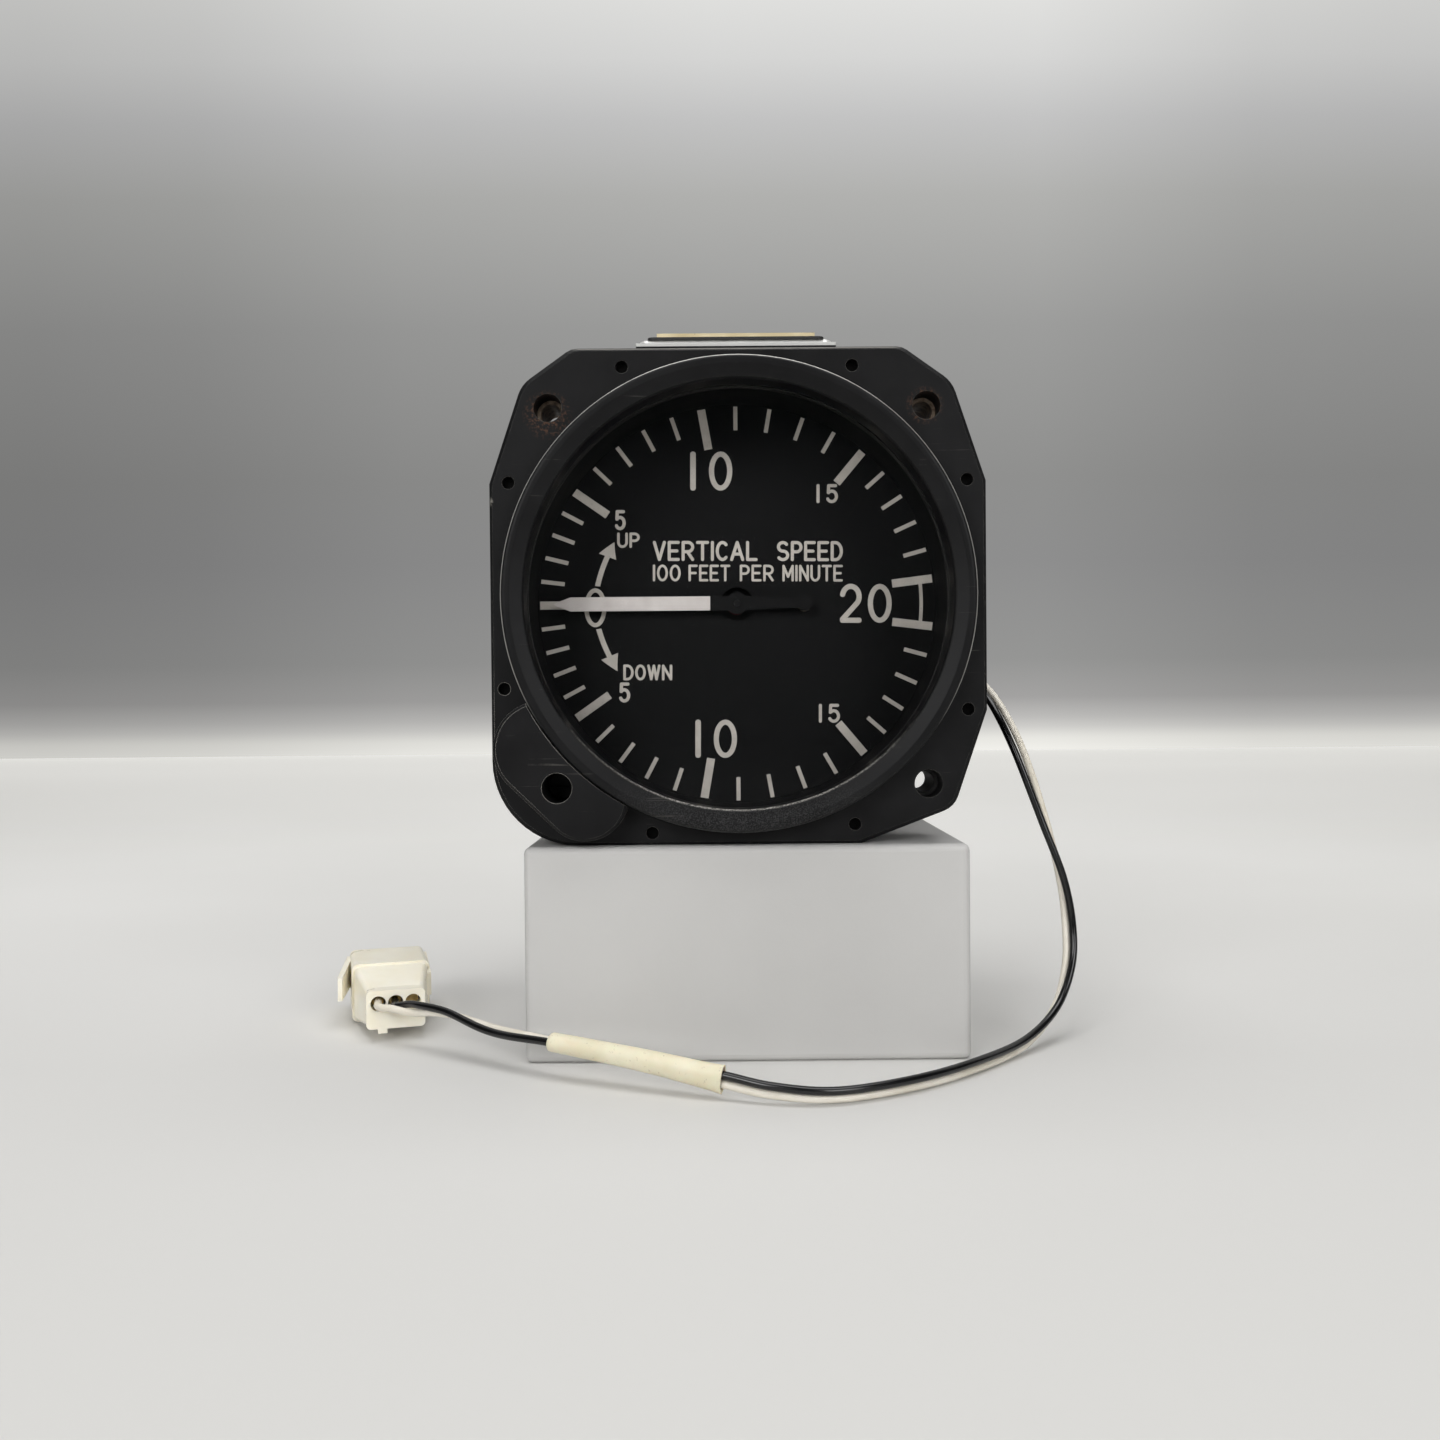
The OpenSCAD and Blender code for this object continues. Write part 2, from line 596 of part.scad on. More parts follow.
module sector_gear() color("#c2a04c") translate([0, 0, rocker_z]) slab(sector_y, sector_y + sector_t)
    difference() {
        union() {
            difference() {
                sector_outline(gear_module, sector_teeth, sector_kept, 90);
                circle(r = centre_distance - 4.2, $fn = 96);
            }
            circle(d = 6, $fn = 48);
            for (a = [74, 106]) rotate(a) translate([1, -0.7]) square([centre_distance - 4.6, 1.4]);
            rotate(-90) translate([0, -1]) square([8, 2]);
            translate([0, -8]) circle(2.6, $fn = 32);
        }
        circle(d = shaft_d + 2 * seat_play, $fn = 24);
    }

module sector_shaft() color("#9a9ca0") rod([0, rocker_z], shaft_d, front_plate_y + 0.1, lever_y + lever_t + 0.4);

module short_lever_arm() color("#aeb2b8") translate([0, 0, rocker_z]) slab(lever_y, lever_y + lever_t)
    difference() {
        union() {
            circle(d = 4.2, $fn = 48);
            translate([-4.5, -1]) square([5, 2]);
            translate([0, -1.3]) square([short_lever + 1.6, 2.6]);
        }
        circle(d = shaft_d + 2 * seat_play, $fn = 24);
        translate([short_lever - 1.1, -ball_d / 2 - slot_play]) square([4, ball_d + 2 * slot_play]);
    }

// A cylinder along X at (y, z), from x0 to x1
module cross_rod(y, z, d, x0, x1) translate([x0, y, z]) rotate([0, 90, 0])
    cylinder(d = d, h = x1 - x0, $fn = 48);

module rocking_shaft() color("#9a9ca0")
    cross_rod(rocker_y, rocker_z, shaft_d, -bracket_x - bracket_t + 0.1, bracket_x + bracket_t - 0.1);

module drive_arm() color("#aeb2b8") difference() {
    union() {
        cross_rod(rocker_y, rocker_z, 4, short_lever - 0.9, short_lever + 0.9);
        translate([short_lever - 0.4, lever_y + lever_t + 1, rocker_z - 0.7])
            cube([0.8, drive_arm_len - 3, 1.4]);
        rod([short_lever, rocker_z], 0.6, lever_y + lever_t / 2, lever_y + lever_t + 2);
        translate([short_lever, lever_y + lever_t / 2, rocker_z]) sphere(d = ball_d, $fn = 32);
    }
    cross_rod(rocker_y, rocker_z, shaft_d + 2 * seat_play, -5, 9);
}

capsule_arm_x = 1;
module capsule_arm() color("#aeb2b8") difference() {
    union() {
        cross_rod(rocker_y, rocker_z, 4, capsule_arm_x, capsule_arm_x + 1.6);
        translate([capsule_arm_x, rocker_y - 0.8, rocker_z]) cube([0.8, 1.6, centre_distance + 0.6]);
        cross_rod(rocker_y, 0, pin_d, -1.2, capsule_arm_x + 0.4);
    }
    cross_rod(rocker_y, rocker_z, shaft_d + 2 * seat_play, -5, 9);
}

bracket_hole_x = 9.4;
module rocker_bracket() color("#a7aab0") difference() {
    union() {
        translate([-bracket_x - bracket_t, rear_plate_y + frame_t, rocker_z - 4])
            cube([2 * (bracket_x + bracket_t), bracket_t, 8]);
        for (x = [-bracket_x - bracket_t, bracket_x])
            translate([x, rear_plate_y + frame_t, rocker_z - 2.5])
                cube([bracket_t, rocker_y + 2.2 - rear_plate_y - frame_t, 5]);
    }
    rod([0, rocker_z], 6, rear_plate_y, lever_y);
    cross_rod(rocker_y, rocker_z, shaft_d + 2 * shaft_play, -bracket_x - 3, bracket_x + 3);
    for (x = [-1, 1]) rod([x * bracket_hole_x, rocker_z], 1.8, rear_plate_y, lever_y);
}

module capsule_post() color("#c9ccd0") difference() {
    union() {
        rod([0, 0], stem_d, rocker_y + 1, capsule_front);
        translate([-eye_t / 2, rocker_y - eye_w / 2, -eye_h / 2]) cube([eye_t, eye_w, eye_h]);
    }
    for (z = [-0.4, 0.4]) cross_rod(rocker_y, z, pin_d + slot_play, -3, 3);
    translate([-3, rocker_y - (pin_d + slot_play) / 2, -0.4]) cube([6, pin_d + slot_play, 0.8]);
}

// Corrugated capsule: two shells soldered at the rim, hollow inside
boss_r = 2.4;
waves = 4;
wave_h = 0.5;
function shell_y(r, y_mid, y_end) = let (u = (r - boss_r) / (capsule_r - boss_r))
    y_end + (y_mid - y_end) * pow(u, 3) + sign(y_mid - y_end) * wave_h / 2 * (1 - cos(360 * waves * u)) * (1 - u);
module capsule() color("#c8a25a") {
    mid = (capsule_front + capsule_back) / 2;
    skin = 0.35;
    steps = [for (i = [1:24]) boss_r + (capsule_r - boss_r - 0.4) * i / 24];
    turned(concat(
        [[0, capsule_front], [boss_r, capsule_front]],
        [for (r = steps) [r, shell_y(r, mid - 0.8, capsule_front)]],
        [[capsule_r, mid - 0.3], [capsule_r, mid + 0.3]],
        [for (i = [23:-1:0]) [steps[i], shell_y(steps[i], mid + 0.8, capsule_back)]],
        [[boss_r, capsule_back], [0, capsule_back], [0, capsule_back - skin],
         [boss_r, capsule_back - skin]],
        [for (r = steps) if (r < capsule_r - 2) [r, shell_y(r, mid + 0.8, capsule_back) - skin]],
        [[capsule_r - 1.6, mid]],
        [for (i = [23:-1:0]) if (steps[i] < capsule_r - 2)
            [steps[i], shell_y(steps[i], mid - 0.8, capsule_front) + skin]],
        [[boss_r, capsule_front + skin], [0, capsule_front + skin]]));
}

module capsule_base() color("#b0894a") rod([0, 0], 12, capsule_back, capsule_back + base_t);

restrictor_at = [0, case_bore / 2 - 9.3];
capillary_len = 16;
module restrictor() color("#b08a3c") tube(restrictor_at, 5, 1.7, case_back - 9, cover_y);

module capillary_tube() color([0.75, 0.85, 0.85, 0.6])
    tube(restrictor_at, 1.6, 0.5, case_back - 1 - capillary_len, case_back - 1);

module rear_gasket() color("#3a3a3a") slab(case_back, cover_y) difference() {
    circle(d = case_d, $fn = 120);
    circle(d = case_bore, $fn = 120);
    for (p = cover_screw_at) translate(p) circle(d = cover_screw_d + 0.2, $fn = 24);
}

module rear_cover() color("#232326") difference() {
    rod([0, 0], case_d, cover_y, cover_y + cover_t);
    rod([0, 0], port_shank_d + 2 * seat_play, cover_y - 1, cover_y + cover_t + 1);
    rod(lead_at, 6, cover_y - 1, cover_y + cover_t + 1);
    for (p = cover_screw_at) rod(p, cover_screw_d + 0.2, cover_y - 1, cover_y + cover_t + 1);
}

module cover_screws() color("#3a3a3d") for (p = cover_screw_at)
    rear_screw(p, cover_screw_d, case_back - 6, cover_y + cover_t, 2.8, 1.1);

port_back = cover_y + cover_t + port_len;
module static_port() color("#8d7a4a") difference() {
    union() {
        slab(cover_y + cover_t, port_back) circle(d = port_hex / cos(30), $fn = 6);
        rod([0, 0], port_shank_d, capsule_back + base_t, cover_y + cover_t + 1);
    }
    rod([0, 0], port_bore, port_back - port_depth, port_back + 1);
    rod([0, 0], 3, capsule_back, port_back);
}

module zero_screw() color("#7e8186") difference() {
    union() {
        rod(adjuster_at, access_d - 0.8, adjuster_head_y, adjuster_head_y + 1.6);
        rod(adjuster_at, adjuster_d, adjuster_head_y + 1, zero_y + zero_t + 0.8);
    }
    translate([adjuster_at[0] - 3, adjuster_head_y - 1, adjuster_at[1] - 0.35]) cube([6, 2, 0.7]);
}

module zero_pinion() color("#c2a04c") translate([adjuster_at[0], 0, adjuster_at[1]])
    slab(zero_y - 0.3, zero_y + zero_t + 0.3) difference() {
        pinion_outline(zero_module, zero_teeth, atan2(zero_dir[1], zero_dir[0]));
        circle(d = adjuster_d + 2 * seat_play, $fn = 24);
    }

module zero_bush() color("#b08a3c")
    tube(adjuster_at, bush_d, adjuster_d + 2 * shaft_play, plate_t, bush_back);

module zero_lever() color("#aeb2b8") translate([zero_pivot[0], 0, zero_pivot[1]])
    slab(zero_y, zero_y + zero_t) difference() {
        union() {
            sector_outline(zero_module, zero_wheel_teeth, zero_kept, atan2(-zero_dir[1], -zero_dir[0]));
            circle(d = 5, $fn = 48);
            rotate(atan2(zero_dir[1], zero_dir[0])) translate([0, -1.2]) square([9, 2.4]);
        }
        circle(d = 2 + 2 * shaft_play, $fn = 24);
    }

module zero_stud() color("#9a9ca0") {
    rod(zero_pivot, 2, front_plate_y + 0.1, zero_y + zero_t + 1);
    rod(zero_pivot, 3.4, zero_y + zero_t + 0.1, zero_y + zero_t + 0.9);
    rod(zero_pivot, 3.4, step_y, zero_y - 0.1);
}

module lead_grommet() color("#1a1a1a") {
    y = cover_y + cover_t;
    rod(lead_at, 6 - 2 * seat_play, cover_y, y + 0.1);
    rod(lead_at, 8, y, lead_start);
}

// Catmull-Rom interpolation through the route's rows, k = 0 for the centre and 1 for the side
function row(i) = route[max(0, min(len(route) - 1, i))];
function along(u, k) = let (i = min(len(route) - 2, floor(u)), t = u - i,
    a = row(i - 1)[k], b = row(i)[k], c = row(i + 1)[k], d = row(i + 2)[k])
    0.5 * (2 * b + (c - a) * t + (2 * a - 5 * b + 4 * c - d) * t * t + (3 * b - a - 3 * c + d) * t * t * t);
function unit(v) = v / norm(v);
function tangent(u) = u < 0.1 ? unit(row(1)[0] - row(0)[0])
    : unit(along(min(u + 0.05, len(route) - 1), 0) - along(u - 0.05, 0));

// From the pair's centre to the black wire's centre, square to the pair and never too close
function pair_side(u) = let (s = along(u, 1), t = tangent(u), p = s - (s * t) * t)
    unit(p) * max(norm(p), wire_d / 2 + wire_gap);

// A ring of points round a place p, square to the direction t
function ring_points(p, t, side, rx, ry, n) = let (
    x = unit(side - (side * t) * t), y = cross(t, x))
    [for (i = [0:n - 1]) p + rx * cos(360 * (i + 0.5) / n) * x + ry * sin(360 * (i + 0.5) / n) * y];

// Triangles between the rings of one skin, and the caps of a closed tube
function skin_faces(rings, n, from, flip) = [for (j = [0:rings - 2], i = [0:n - 1]) let (
    a = from + j * n + i, b = from + j * n + (i + 1) % n, c = a + n, d = b + n)
    each flip ? [[a, c, b], [b, c, d]] : [[a, b, c], [b, d, c]]];

wire_rings = 40;
wire_gap = 0.07;
wire_sides = 8;
module wire(sign) {
    us = [for (i = [0:wire_rings - 1]) i * (len(route) - 1) / (wire_rings - 1)];
    points = [for (u = us) each ring_points(along(u, 0) + sign * pair_side(u), tangent(u),
        pair_side(u), wire_d / 2, wire_d / 2, wire_sides)];
    polyhedron(points, concat(
        [[for (i = [0:wire_sides - 1]) i]],
        skin_faces(wire_rings, wire_sides, 0, true),
        [[for (i = [wire_sides - 1:-1:0]) (wire_rings - 1) * wire_sides + i]]));
}

module wire_black() color("#101012") wire(1);

module wire_white() color("#e9e4d6") wire(-1);

sleeve_rings = 9;
sleeve_sides = 16;
sleeve_r = 1.85;
sleeve_flare = 0.45;

// Half width of the sleeve, which is squashed flat at its first end
function sleeve_wide(i) = sleeve_r + sleeve_flare * (1 - i / (sleeve_rings - 1));
module lead_sleeve() color("#e3dcc0") {
    us = [for (i = [0:sleeve_rings - 1])
        sleeve_last + (sleeve_first - sleeve_last) * i / (sleeve_rings - 1)];
    outer = [for (i = [0:sleeve_rings - 1]) each ring_points(along(us[i], 0), tangent(us[i]),
        along(us[i], 1), sleeve_wide(i), sleeve_r, sleeve_sides)];
    inner = [for (i = [0:sleeve_rings - 1]) each ring_points(along(us[i], 0), tangent(us[i]),
        along(us[i], 1), sleeve_wide(i) - sleeve_wall, sleeve_r - sleeve_wall, sleeve_sides)];
    n = sleeve_sides;
    all_outer = sleeve_rings * n;
    last = (sleeve_rings - 1) * n;
    polyhedron(concat(outer, inner), concat(
        skin_faces(sleeve_rings, n, 0, true), skin_faces(sleeve_rings, n, all_outer, false),
        [for (i = [0:n - 1]) let (j = (i + 1) % n) each
            [[i, j, all_outer + j], [i, all_outer + j, all_outer + i],
             [last + i, all_outer + last + j, last + j],
             [last + i, all_outer + last + i, all_outer + last + j]]]));
}

// Places its children in the plug's own frame: x across, y from the wire face back, z up
module in_plug() translate(plug_at) rotate([0, 0, plug_yaw]) children();

module round_box(w, h, len, r) translate([0, len, 0]) rotate([90, 0, 0]) linear_extrude(len)
    offset(r, $fn = 24) square([w - 2 * r, h - 2 * r], center = true);

module plug_housing() color("#ebe6d7") in_plug() difference() {
    union() {
        round_box(nose_w, nose_h, nose_len + 1, 0.8);
        hull() {
            translate([0, nose_len, 0]) round_box(nose_w, nose_h, 1, 0.8);
            translate([0, taper_end - 1, 0]) round_box(plug_w - 0.8, plug_h - 0.8, 1.2, 1.2);
        }
        translate([0, taper_end, 0]) round_box(plug_w, plug_h, plug_len - taper_end, 1.2);
        translate([-nose_w / 2 + 2, 0, -nose_h / 2 - 0.8]) cube([1.6, nose_len + 4, 1.2]);
        for (i = [0, 1], s = 2 * i - 1) hull() {
            translate([s * (plug_w / 2 + 0.1) - 0.4, plug_len - 3, -0.8]) cube([0.8, 2, 5.2]);
            translate([s * (plug_w / 2 + ear_out[i]) - 0.4, ear_y, -0.6]) cube([0.8, 1, 4.2]);
        }
    }
    for (x = cavity_x) translate([x, cavity_len, cavity_z]) rotate([90, 0, 0])
        cylinder(d = cavity_d, h = cavity_len + 1, $fn = 32);
    translate([0, plug_len - 12, 0]) round_box(plug_w - 2 * plug_wall, plug_h - 2 * plug_wall, 13, 0.6);
    for (x = cavity_x) translate([x, plug_len, cavity_z]) rotate([90, 0, 0])
        cylinder(d = 1.9, h = plug_len - 4, $fn = 32);
}

module plug_contacts() color("#b9a15a") in_plug() for (x = cavity_x) translate([x, 0, cavity_z]) {
    translate([0, cavity_len, 0]) rotate([90, 0, 0]) cylinder(d = 2.2, h = cavity_len - 3, $fn = 32);
    translate([0, plug_len - 8, 0]) rotate([90, 0, 0]) cylinder(d = 1.6, h = 12, $fn = 32);
}

bezel_flange();
lug_inserts();
bezel_ring();
slip_washer();
cover_glass();
glass_gasket();
case_gasket();
case_body();
case_screws();
light_ring();
lamps();
lamp_sockets();
bay_cover();
label_tape();
gold_label();
dial_spacer();
dial_plate();
dial_ticks();
dial_ring();
pointer();
pointer_hub();
counterweight();
pointer_staff();
pinion();
front_plate();
rear_plate();
pillars();
plate_screws();
jewel_bearings();
sector_gear();
sector_shaft();
short_lever_arm();
rocking_shaft();
drive_arm();
capsule_arm();
rocker_bracket();
capsule_post();
capsule();
capsule_base();
restrictor();
capillary_tube();
rear_gasket();
rear_cover();
cover_screws();
static_port();
zero_screw();
zero_pinion();
zero_bush();
zero_lever();
zero_stud();
lead_grommet();
wire_black();
wire_white();
lead_sleeve();
plug_housing();
plug_contacts();
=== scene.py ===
# Vertical speed indicator of the 3-1/8 inch size, with its two-wire lighting lead.
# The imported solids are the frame; -Y is the pilot's side, +Z is up, and lengths here are metres.
import math

import bpy
import numpy as np
from mathutils import Matrix, Vector


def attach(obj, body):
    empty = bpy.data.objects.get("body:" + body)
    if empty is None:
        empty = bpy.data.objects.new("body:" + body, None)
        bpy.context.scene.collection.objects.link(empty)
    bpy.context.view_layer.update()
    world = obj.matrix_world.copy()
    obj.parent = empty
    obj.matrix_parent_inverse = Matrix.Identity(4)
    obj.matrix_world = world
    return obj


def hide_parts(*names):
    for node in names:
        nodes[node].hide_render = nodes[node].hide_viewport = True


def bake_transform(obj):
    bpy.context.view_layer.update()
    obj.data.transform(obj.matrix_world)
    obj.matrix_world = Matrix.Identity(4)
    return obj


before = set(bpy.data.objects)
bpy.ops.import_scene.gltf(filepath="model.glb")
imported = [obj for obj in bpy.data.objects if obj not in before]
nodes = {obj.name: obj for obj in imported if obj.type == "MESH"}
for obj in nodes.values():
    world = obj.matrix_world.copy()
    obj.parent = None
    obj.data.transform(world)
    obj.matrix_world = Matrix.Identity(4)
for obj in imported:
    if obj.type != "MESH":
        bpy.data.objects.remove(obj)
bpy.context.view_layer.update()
mm = 0.001

# --- Camera ---
# A phone stood about 21 cm in front of the flange, a little below the dial's centre and aimed
# slightly down. Its whole frame is square, and it leaned by half a degree.
eye = Vector((-4.1, -212, -17.6)) * mm
aim_right, aim_down, tilt = math.radians(0.22), math.radians(0.80), math.radians(-0.5)
sensor_mm, focal_px, frame_px = 36, 1274, 1440
camera = bpy.data.objects.new("camera", bpy.data.cameras.new("camera"))
bpy.context.scene.collection.objects.link(camera)
camera.data.sensor_width = sensor_mm
camera.data.lens = sensor_mm * focal_px / frame_px
camera.data.clip_start, camera.data.clip_end = 0.01, 20
camera.matrix_world = (
    Matrix.Translation(eye)
    @ Matrix.Rotation(-aim_right, 4, "Z")
    @ Matrix.Rotation(math.pi / 2 - aim_down, 4, "X")
    @ Matrix.Rotation(tilt, 4, "Z")
)
bpy.context.scene.camera = camera
bpy.context.scene.view_settings.view_transform = "Standard"


# --- Table, backdrop and stand ---
# A pale satin table runs back to a seamless grey paper whose painted light grows upwards. A plain
# painted block carries the instrument at the height that the lead's fall to the table shows.
def linear(code):
    """An sRGB hex colour as linear RGBA: c / 12.92 near black, else ((c + 0.055) / 1.055) ^ 2.4."""
    c = np.array([int(code[i : i + 2], 16) for i in (1, 3, 5)]) / 255
    c = np.where(c <= 0.04045, c / 12.92, ((c + 0.055) / 1.055) ** 2.4)
    return (*c.tolist(), 1.0)


def add(tree, kind, inputs=None, give=0, stops=(), **settings):
    """One shader node of that kind: its inputs, by name or number, as values, hex colours or
    sockets to link, a colour ramp's stops, and its settings. The answer is its output give."""
    node = tree.nodes.new("ShaderNode" + kind)
    for name, value in settings.items():
        setattr(node, name, value)
    while stops and len(node.color_ramp.elements) < len(stops):
        node.color_ramp.elements.new(1)
    for element, (position, colour) in zip(node.color_ramp.elements if stops else (), stops):
        element.position = position
        element.color = linear(colour) if isinstance(colour, str) else (colour, colour, colour, 1)
    for name, value in (inputs or {}).items():
        if isinstance(value, bpy.types.NodeSocket):
            tree.links.new(value, node.inputs[name])
        else:
            node.inputs[name].default_value = linear(value) if isinstance(value, str) else value
    return node.outputs[give] if node.outputs else None


def finish_of(name, **inputs):
    """A material with one Principled shader: itself, its tree, the shader and Object coordinates."""
    made = bpy.data.materials.new(name)
    made.use_nodes = True
    tree = made.node_tree
    shader = tree.nodes["Principled BSDF"]
    for key, value in inputs.items():
        shader.inputs[key.replace("_", " ")].default_value = value
    return made, tree, shader, add(tree, "TexCoord", give="Object")


def feed(tree, shader, **sockets):
    """Links sockets to the shader's inputs of those names."""
    for key, socket in sockets.items():
        tree.links.new(socket, shader.inputs[key.replace("_", " ")])


def base_of(shader):
    """The socket that feeds the shader's colour now."""
    return shader.inputs["Base Color"].links[0].from_socket


def coated(name, dark, pale, rough, grain, deep, patch, **inputs):
    """A painted or moulded surface. Its colour runs from dark to pale in patches of patch mm, its
    roughness varies with them by a tenth, and bumps grain mm wide and deep mm high break it."""
    made, tree, shader, place = finish_of(name, **inputs)
    wide = add(tree, "TexNoise", {"Vector": place, "Scale": 1000 / patch, "Detail": 5})
    fine = add(tree, "TexNoise", {"Vector": place, "Scale": 1000 / grain, "Detail": 3})
    feed(tree, shader,
         Base_Color=add(tree, "ValToRGB", {"Fac": wide}, stops=[(0.35, dark), (0.65, pale)]),
         Roughness=add(tree, "MapRange", {
             "Value": wide, "From Min": 0.3, "From Max": 0.7,
             "To Min": rough * 0.9, "To Max": rough * 1.1}),
         Normal=add(tree, "Bump", {"Height": fine, "Distance": deep * mm}))
    return made, tree, shader, place


def piece(name, points, faces, material, body=None, smooth=True):
    """An object at the origin from an array of points and rows of corner numbers."""
    mesh = bpy.data.meshes.new(name)
    mesh.from_pydata(np.asarray(points).reshape(-1, 3).tolist(), [], [list(f) for f in faces])
    mesh.validate()
    mesh.polygons.foreach_set("use_smooth", [smooth] * len(mesh.polygons))
    mesh.materials.append(material)
    made = bpy.data.objects.new(name, mesh)
    bpy.context.scene.collection.objects.link(made)
    if body:
        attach(made, body)
    return made


# Satin laminate has a broad soft sheen and no grain. Its colour is painted darker in front, a painted
# shade, and towards the paper it has a painted glow that the camera alone sees, as a table does that
# runs into its own backdrop.
table_z, table_front, table_back, table_half = -77.2 * mm, -1.5, 1.3, 3
table_mat, tree, shader, place = coated(
    "satin table top", "#d7d6d3", "#dedddb", rough=0.6, grain=0.4, deep=0.004, patch=300)
back = add(tree, "SeparateXYZ", {"Vector": place}, "Y")
# Painted shade: the table's colour is darker towards the front
painted_front_shade = add(tree, "MapRange", {"Value": back, "From Min": 0.25, "From Max": -0.11})
farther = add(tree, "MapRange", {"Value": back, "From Max": table_back})
# Painted glow towards the paper, seen by camera rays alone
table_glow_and_glass_haze = add(tree, "ValToRGB", {"Fac": farther}, stops=[
    (0, 0.02), (0.073, 0.09), (0.133, 0.16), (0.234, 0.24), (0.44, 0.38), (0.71, 0.54), (1, 0.62)])
seen = add(tree, "LightPath", give="Is Camera Ray")
shader.inputs["Emission Color"].default_value = linear("#fffef9")
feed(tree, shader,
     Base_Color=add(tree, "Mix", {"Factor": painted_front_shade, 6: base_of(shader), 7: "#cecdca"}, 2, data_type="RGBA"),
     Emission_Strength=add(tree, "Math", {0: table_glow_and_glass_haze, 1: seen}, operation="MULTIPLY"))
table = piece("table", [
    [-table_half, table_front, table_z], [table_half, table_front, table_z],
    [table_half, table_back, table_z], [-table_half, table_back, table_z]], [(0, 1, 2, 3)], table_mat)

# Seamless paper is dead matt. Its greys, lighter upwards and dimmer towards both sides, are painted
# light that glows: it shows them to the camera, to gloss and through glass, and lights nothing.
paper_high, paper_half, paper_top, lit_half = 0.9, 4, 3, 0.8
paper_mat = bpy.data.materials.new("grey backdrop paper")
paper_mat.use_nodes = True
tree = paper_mat.node_tree
tree.nodes.clear()
place = add(tree, "TexCoord", give="Object")
height = add(tree, "MapRange", {
    "Value": add(tree, "SeparateXYZ", {"Vector": place}, "Z"),
    "From Min": table_z, "From Max": table_z + paper_high})
across = add(tree, "MapRange", {
    "Value": add(tree, "SeparateXYZ", {"Vector": place}, "X"), "From Min": -lit_half, "From Max": lit_half})
# Painted light on the paper: lighter upwards, and weaker towards both sides
grey = add(tree, "ValToRGB", {"Fac": height}, stops=[
    (0, "#e6e5e0"), (0.017, "#dcdbd6"), (0.031, "#c4c3c0"), (0.044, "#b3b2b0"), (0.07, "#9b9a99"),
    (0.12, "#8e8e8d"), (0.25, "#878787"), (0.36, "#888887"), (0.56, "#959594"), (0.73, "#a9a9a7"),
    (0.83, "#bababa"), (0.91, "#cccccb"), (1, "#d7d7d5")])
side = add(tree, "ValToRGB", {"Fac": across}, stops=[
    (0, 0.78), (0.12, 0.84), (0.27, 1.0), (0.5, 1.1), (0.74, 1.12), (0.9, 0.95), (1, 0.92)])
glow = add(tree, "Emission", {"Color": grey, "Strength": side})
shown = add(tree, "LightPath", give="Is Camera Ray")
for ray in ("Is Glossy Ray", "Is Transmission Ray"):
    shown = add(tree, "Math", {0: shown, 1: add(tree, "LightPath", give=ray)}, operation="MAXIMUM")
dull = add(tree, "BsdfDiffuse", {"Color": "#8c8c8c"})
add(tree, "OutputMaterial", {"Surface": add(tree, "MixShader", {0: shown, 1: dull, 2: glow})})
paper = piece("backdrop", [
    [-paper_half, table_back, table_z], [paper_half, table_back, table_z],
    [paper_half, table_back, paper_top], [-paper_half, table_back, paper_top]], [(0, 1, 2, 3)], paper_mat)

# Matt paint on a plain block: an even light grey that takes a soft shadow
stand_mat = coated("painted plinth", "#bdbcba", "#c5c4c2", rough=0.6, grain=0.5, deep=0.01, patch=60)[0]
x0, x1, y0, y1, z1 = -36 * mm, 38 * mm, -2 * mm, 58 * mm, -41.35 * mm
corners = [[x, y, z] for z in (table_z, z1) for x, y in ((x0, y0), (x1, y0), (x1, y1), (x0, y1))]
sides = [(0, 1, 5, 4), (1, 2, 6, 5), (2, 3, 7, 6), (3, 0, 4, 7), (4, 5, 6, 7), (3, 2, 1, 0)]
stand = piece("stand", corners, sides, stand_mat, smooth=False)
rounding = stand.modifiers.new("edges", "BEVEL")
rounding.width, rounding.segments = 1.2 * mm, 4

# --- Light ---
# A pale room lights it softly from all round, but for a dark patch straight in front, which keeps
# the black faces black. One broad soft box hangs above it, and two weaker ones stand in front.
room_dark, room_pale, room_low, room_high = 0.02, 0.55, 0.7, 1.3
world = bpy.data.worlds.new("studio")
bpy.context.scene.world = world
world.use_nodes = True
tree = world.node_tree
way = add(tree, "TexCoord", give="Generated")
ahead = add(tree, "MapRange", {
    "Value": add(tree, "SeparateXYZ", {"Vector": way}, "Y"),
    "From Min": -0.93, "From Max": -0.5, "To Min": room_dark, "To Max": room_pale})
above = add(tree, "MapRange", {
    "Value": add(tree, "SeparateXYZ", {"Vector": way}, "Z"),
    "From Min": -0.3, "From Max": 1, "To Min": room_low, "To Max": room_high})
tree.links.new(add(tree, "Math", {0: ahead, 1: above}, operation="MULTIPLY"),
               tree.nodes["Background"].inputs["Strength"])


def soft_box(name, at, width, depth, power):
    """A rectangular area lamp at a point, its size in metres, facing the middle of the flange."""
    lamp = bpy.data.lights.new(name, "AREA")
    lamp.shape, lamp.size, lamp.size_y, lamp.energy = "RECTANGLE", width, depth, power
    made = bpy.data.objects.new(name, lamp)
    bpy.context.scene.collection.objects.link(made)
    made.location = at
    made.rotation_mode = "QUATERNION"
    made.rotation_quaternion = (-Vector(at)).to_track_quat("-Z", "Y")


soft_box("top_box", (0.0, 0.0, 0.75), width=0.9, depth=0.6, power=6.2)
soft_box("left_box", (-0.42, -0.72, 0.32), width=0.4, depth=0.4, power=3.7)
soft_box("right_box", (0.45, -0.68, 0.3), width=0.4, depth=0.4, power=2.8)


